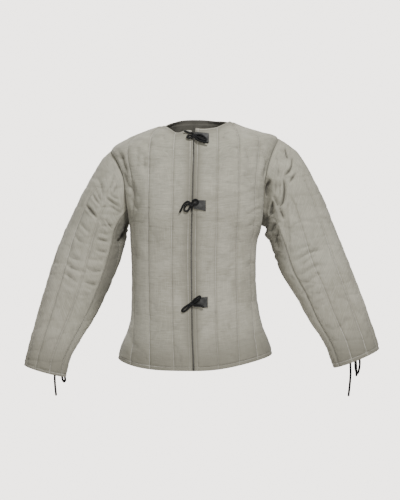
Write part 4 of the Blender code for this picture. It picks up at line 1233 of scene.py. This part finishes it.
def set_camera():
    data = bpy.data.cameras.new("camera")
    data.sensor_fit = "VERTICAL"
    data.angle_y = 2.0 * math.atan(VIEW_HEIGHT / 2.0 / -CAMERA_AT[1])
    camera = bpy.data.objects.new("camera", data)
    camera.location = CAMERA_AT
    camera.rotation_euler = (math.radians(90.0), 0.0, 0.0)
    bpy.context.scene.collection.objects.link(camera)
    bpy.context.scene.camera = camera


def set_stage():
    mesh = bpy.data.meshes.new("floor")
    turns = np.linspace(0, 2 * math.pi, FLOOR_SIDES + 1)[:-1]
    rim = [(FLOOR_RADIUS * math.cos(turn), FLOOR_RADIUS * math.sin(turn), 0.0) for turn in turns]
    mesh.from_pydata(rim, [], [range(len(rim))])
    n = Nodes("floor", 0.9, 0.1)
    n.shader.inputs["Base Color"].default_value = FLOOR_COLOUR
    mesh.materials.append(n.material)
    floor = bpy.data.objects.new("floor", mesh)
    floor.location = (0.0, 0.0, FLOOR_Z)
    bpy.context.scene.collection.objects.link(floor)


def set_lights():
    world = bpy.data.worlds.new("studio")
    world.use_nodes = True
    tree = world.node_tree
    soft = tree.nodes["Background"]
    seen = tree.nodes.new("ShaderNodeBackground")
    skies = ((soft, SKY_COLOUR, SKY_STRENGTH), (seen, BACKDROP_COLOUR, BACKDROP_STRENGTH))
    for node, colour, strength in skies:
        node.inputs["Color"].default_value = colour
        node.inputs["Strength"].default_value = strength
    both = tree.nodes.new("ShaderNodeMixShader")
    tree.links.new(tree.nodes.new("ShaderNodeLightPath").outputs["Is Camera Ray"], both.inputs[0])
    tree.links.new(soft.outputs[0], both.inputs[1])
    tree.links.new(seen.outputs[0], both.inputs[2])
    tree.links.new(both.outputs[0], tree.nodes["World Output"].inputs["Surface"])
    bpy.context.scene.world = world
    for name, place, size, power in LAMPS:
        data = bpy.data.lights.new(name, "AREA")
        data.shape = "DISK"
        data.size = size
        data.energy = power
        lamp = bpy.data.objects.new(name, data)
        lamp.location = place
        aim = Vector(LAMP_AIM) - Vector(place)
        lamp.rotation_euler = aim.to_track_quat("-Z", "Y").to_euler()
        bpy.context.scene.collection.objects.link(lamp)


CANVAS, HIDE, CORD = canvas_material(), leather_material(), lace_material()
set_camera()
lay_laces()
outers = {}
for (side, half), (flat, area) in BODY_CUTS.items():
    name = f"{half}_{'right' if side < 0 else 'left'}"
    outers[name] = cloth_wall(name, side, body_cloth(side, half), FOLDS.get(name, ()))
for (side, part), (flat, area) in SLEEVE_CUTS.items():
    arm = f"sleeve_{'right' if side < 0 else 'left'}"
    cloth_wall(f"{arm}_{part}", side, sleeve_cloth(side, part), FOLDS.get(arm, ()))
sew_tabs(outers["front_left"])
set_stage()
set_lights()
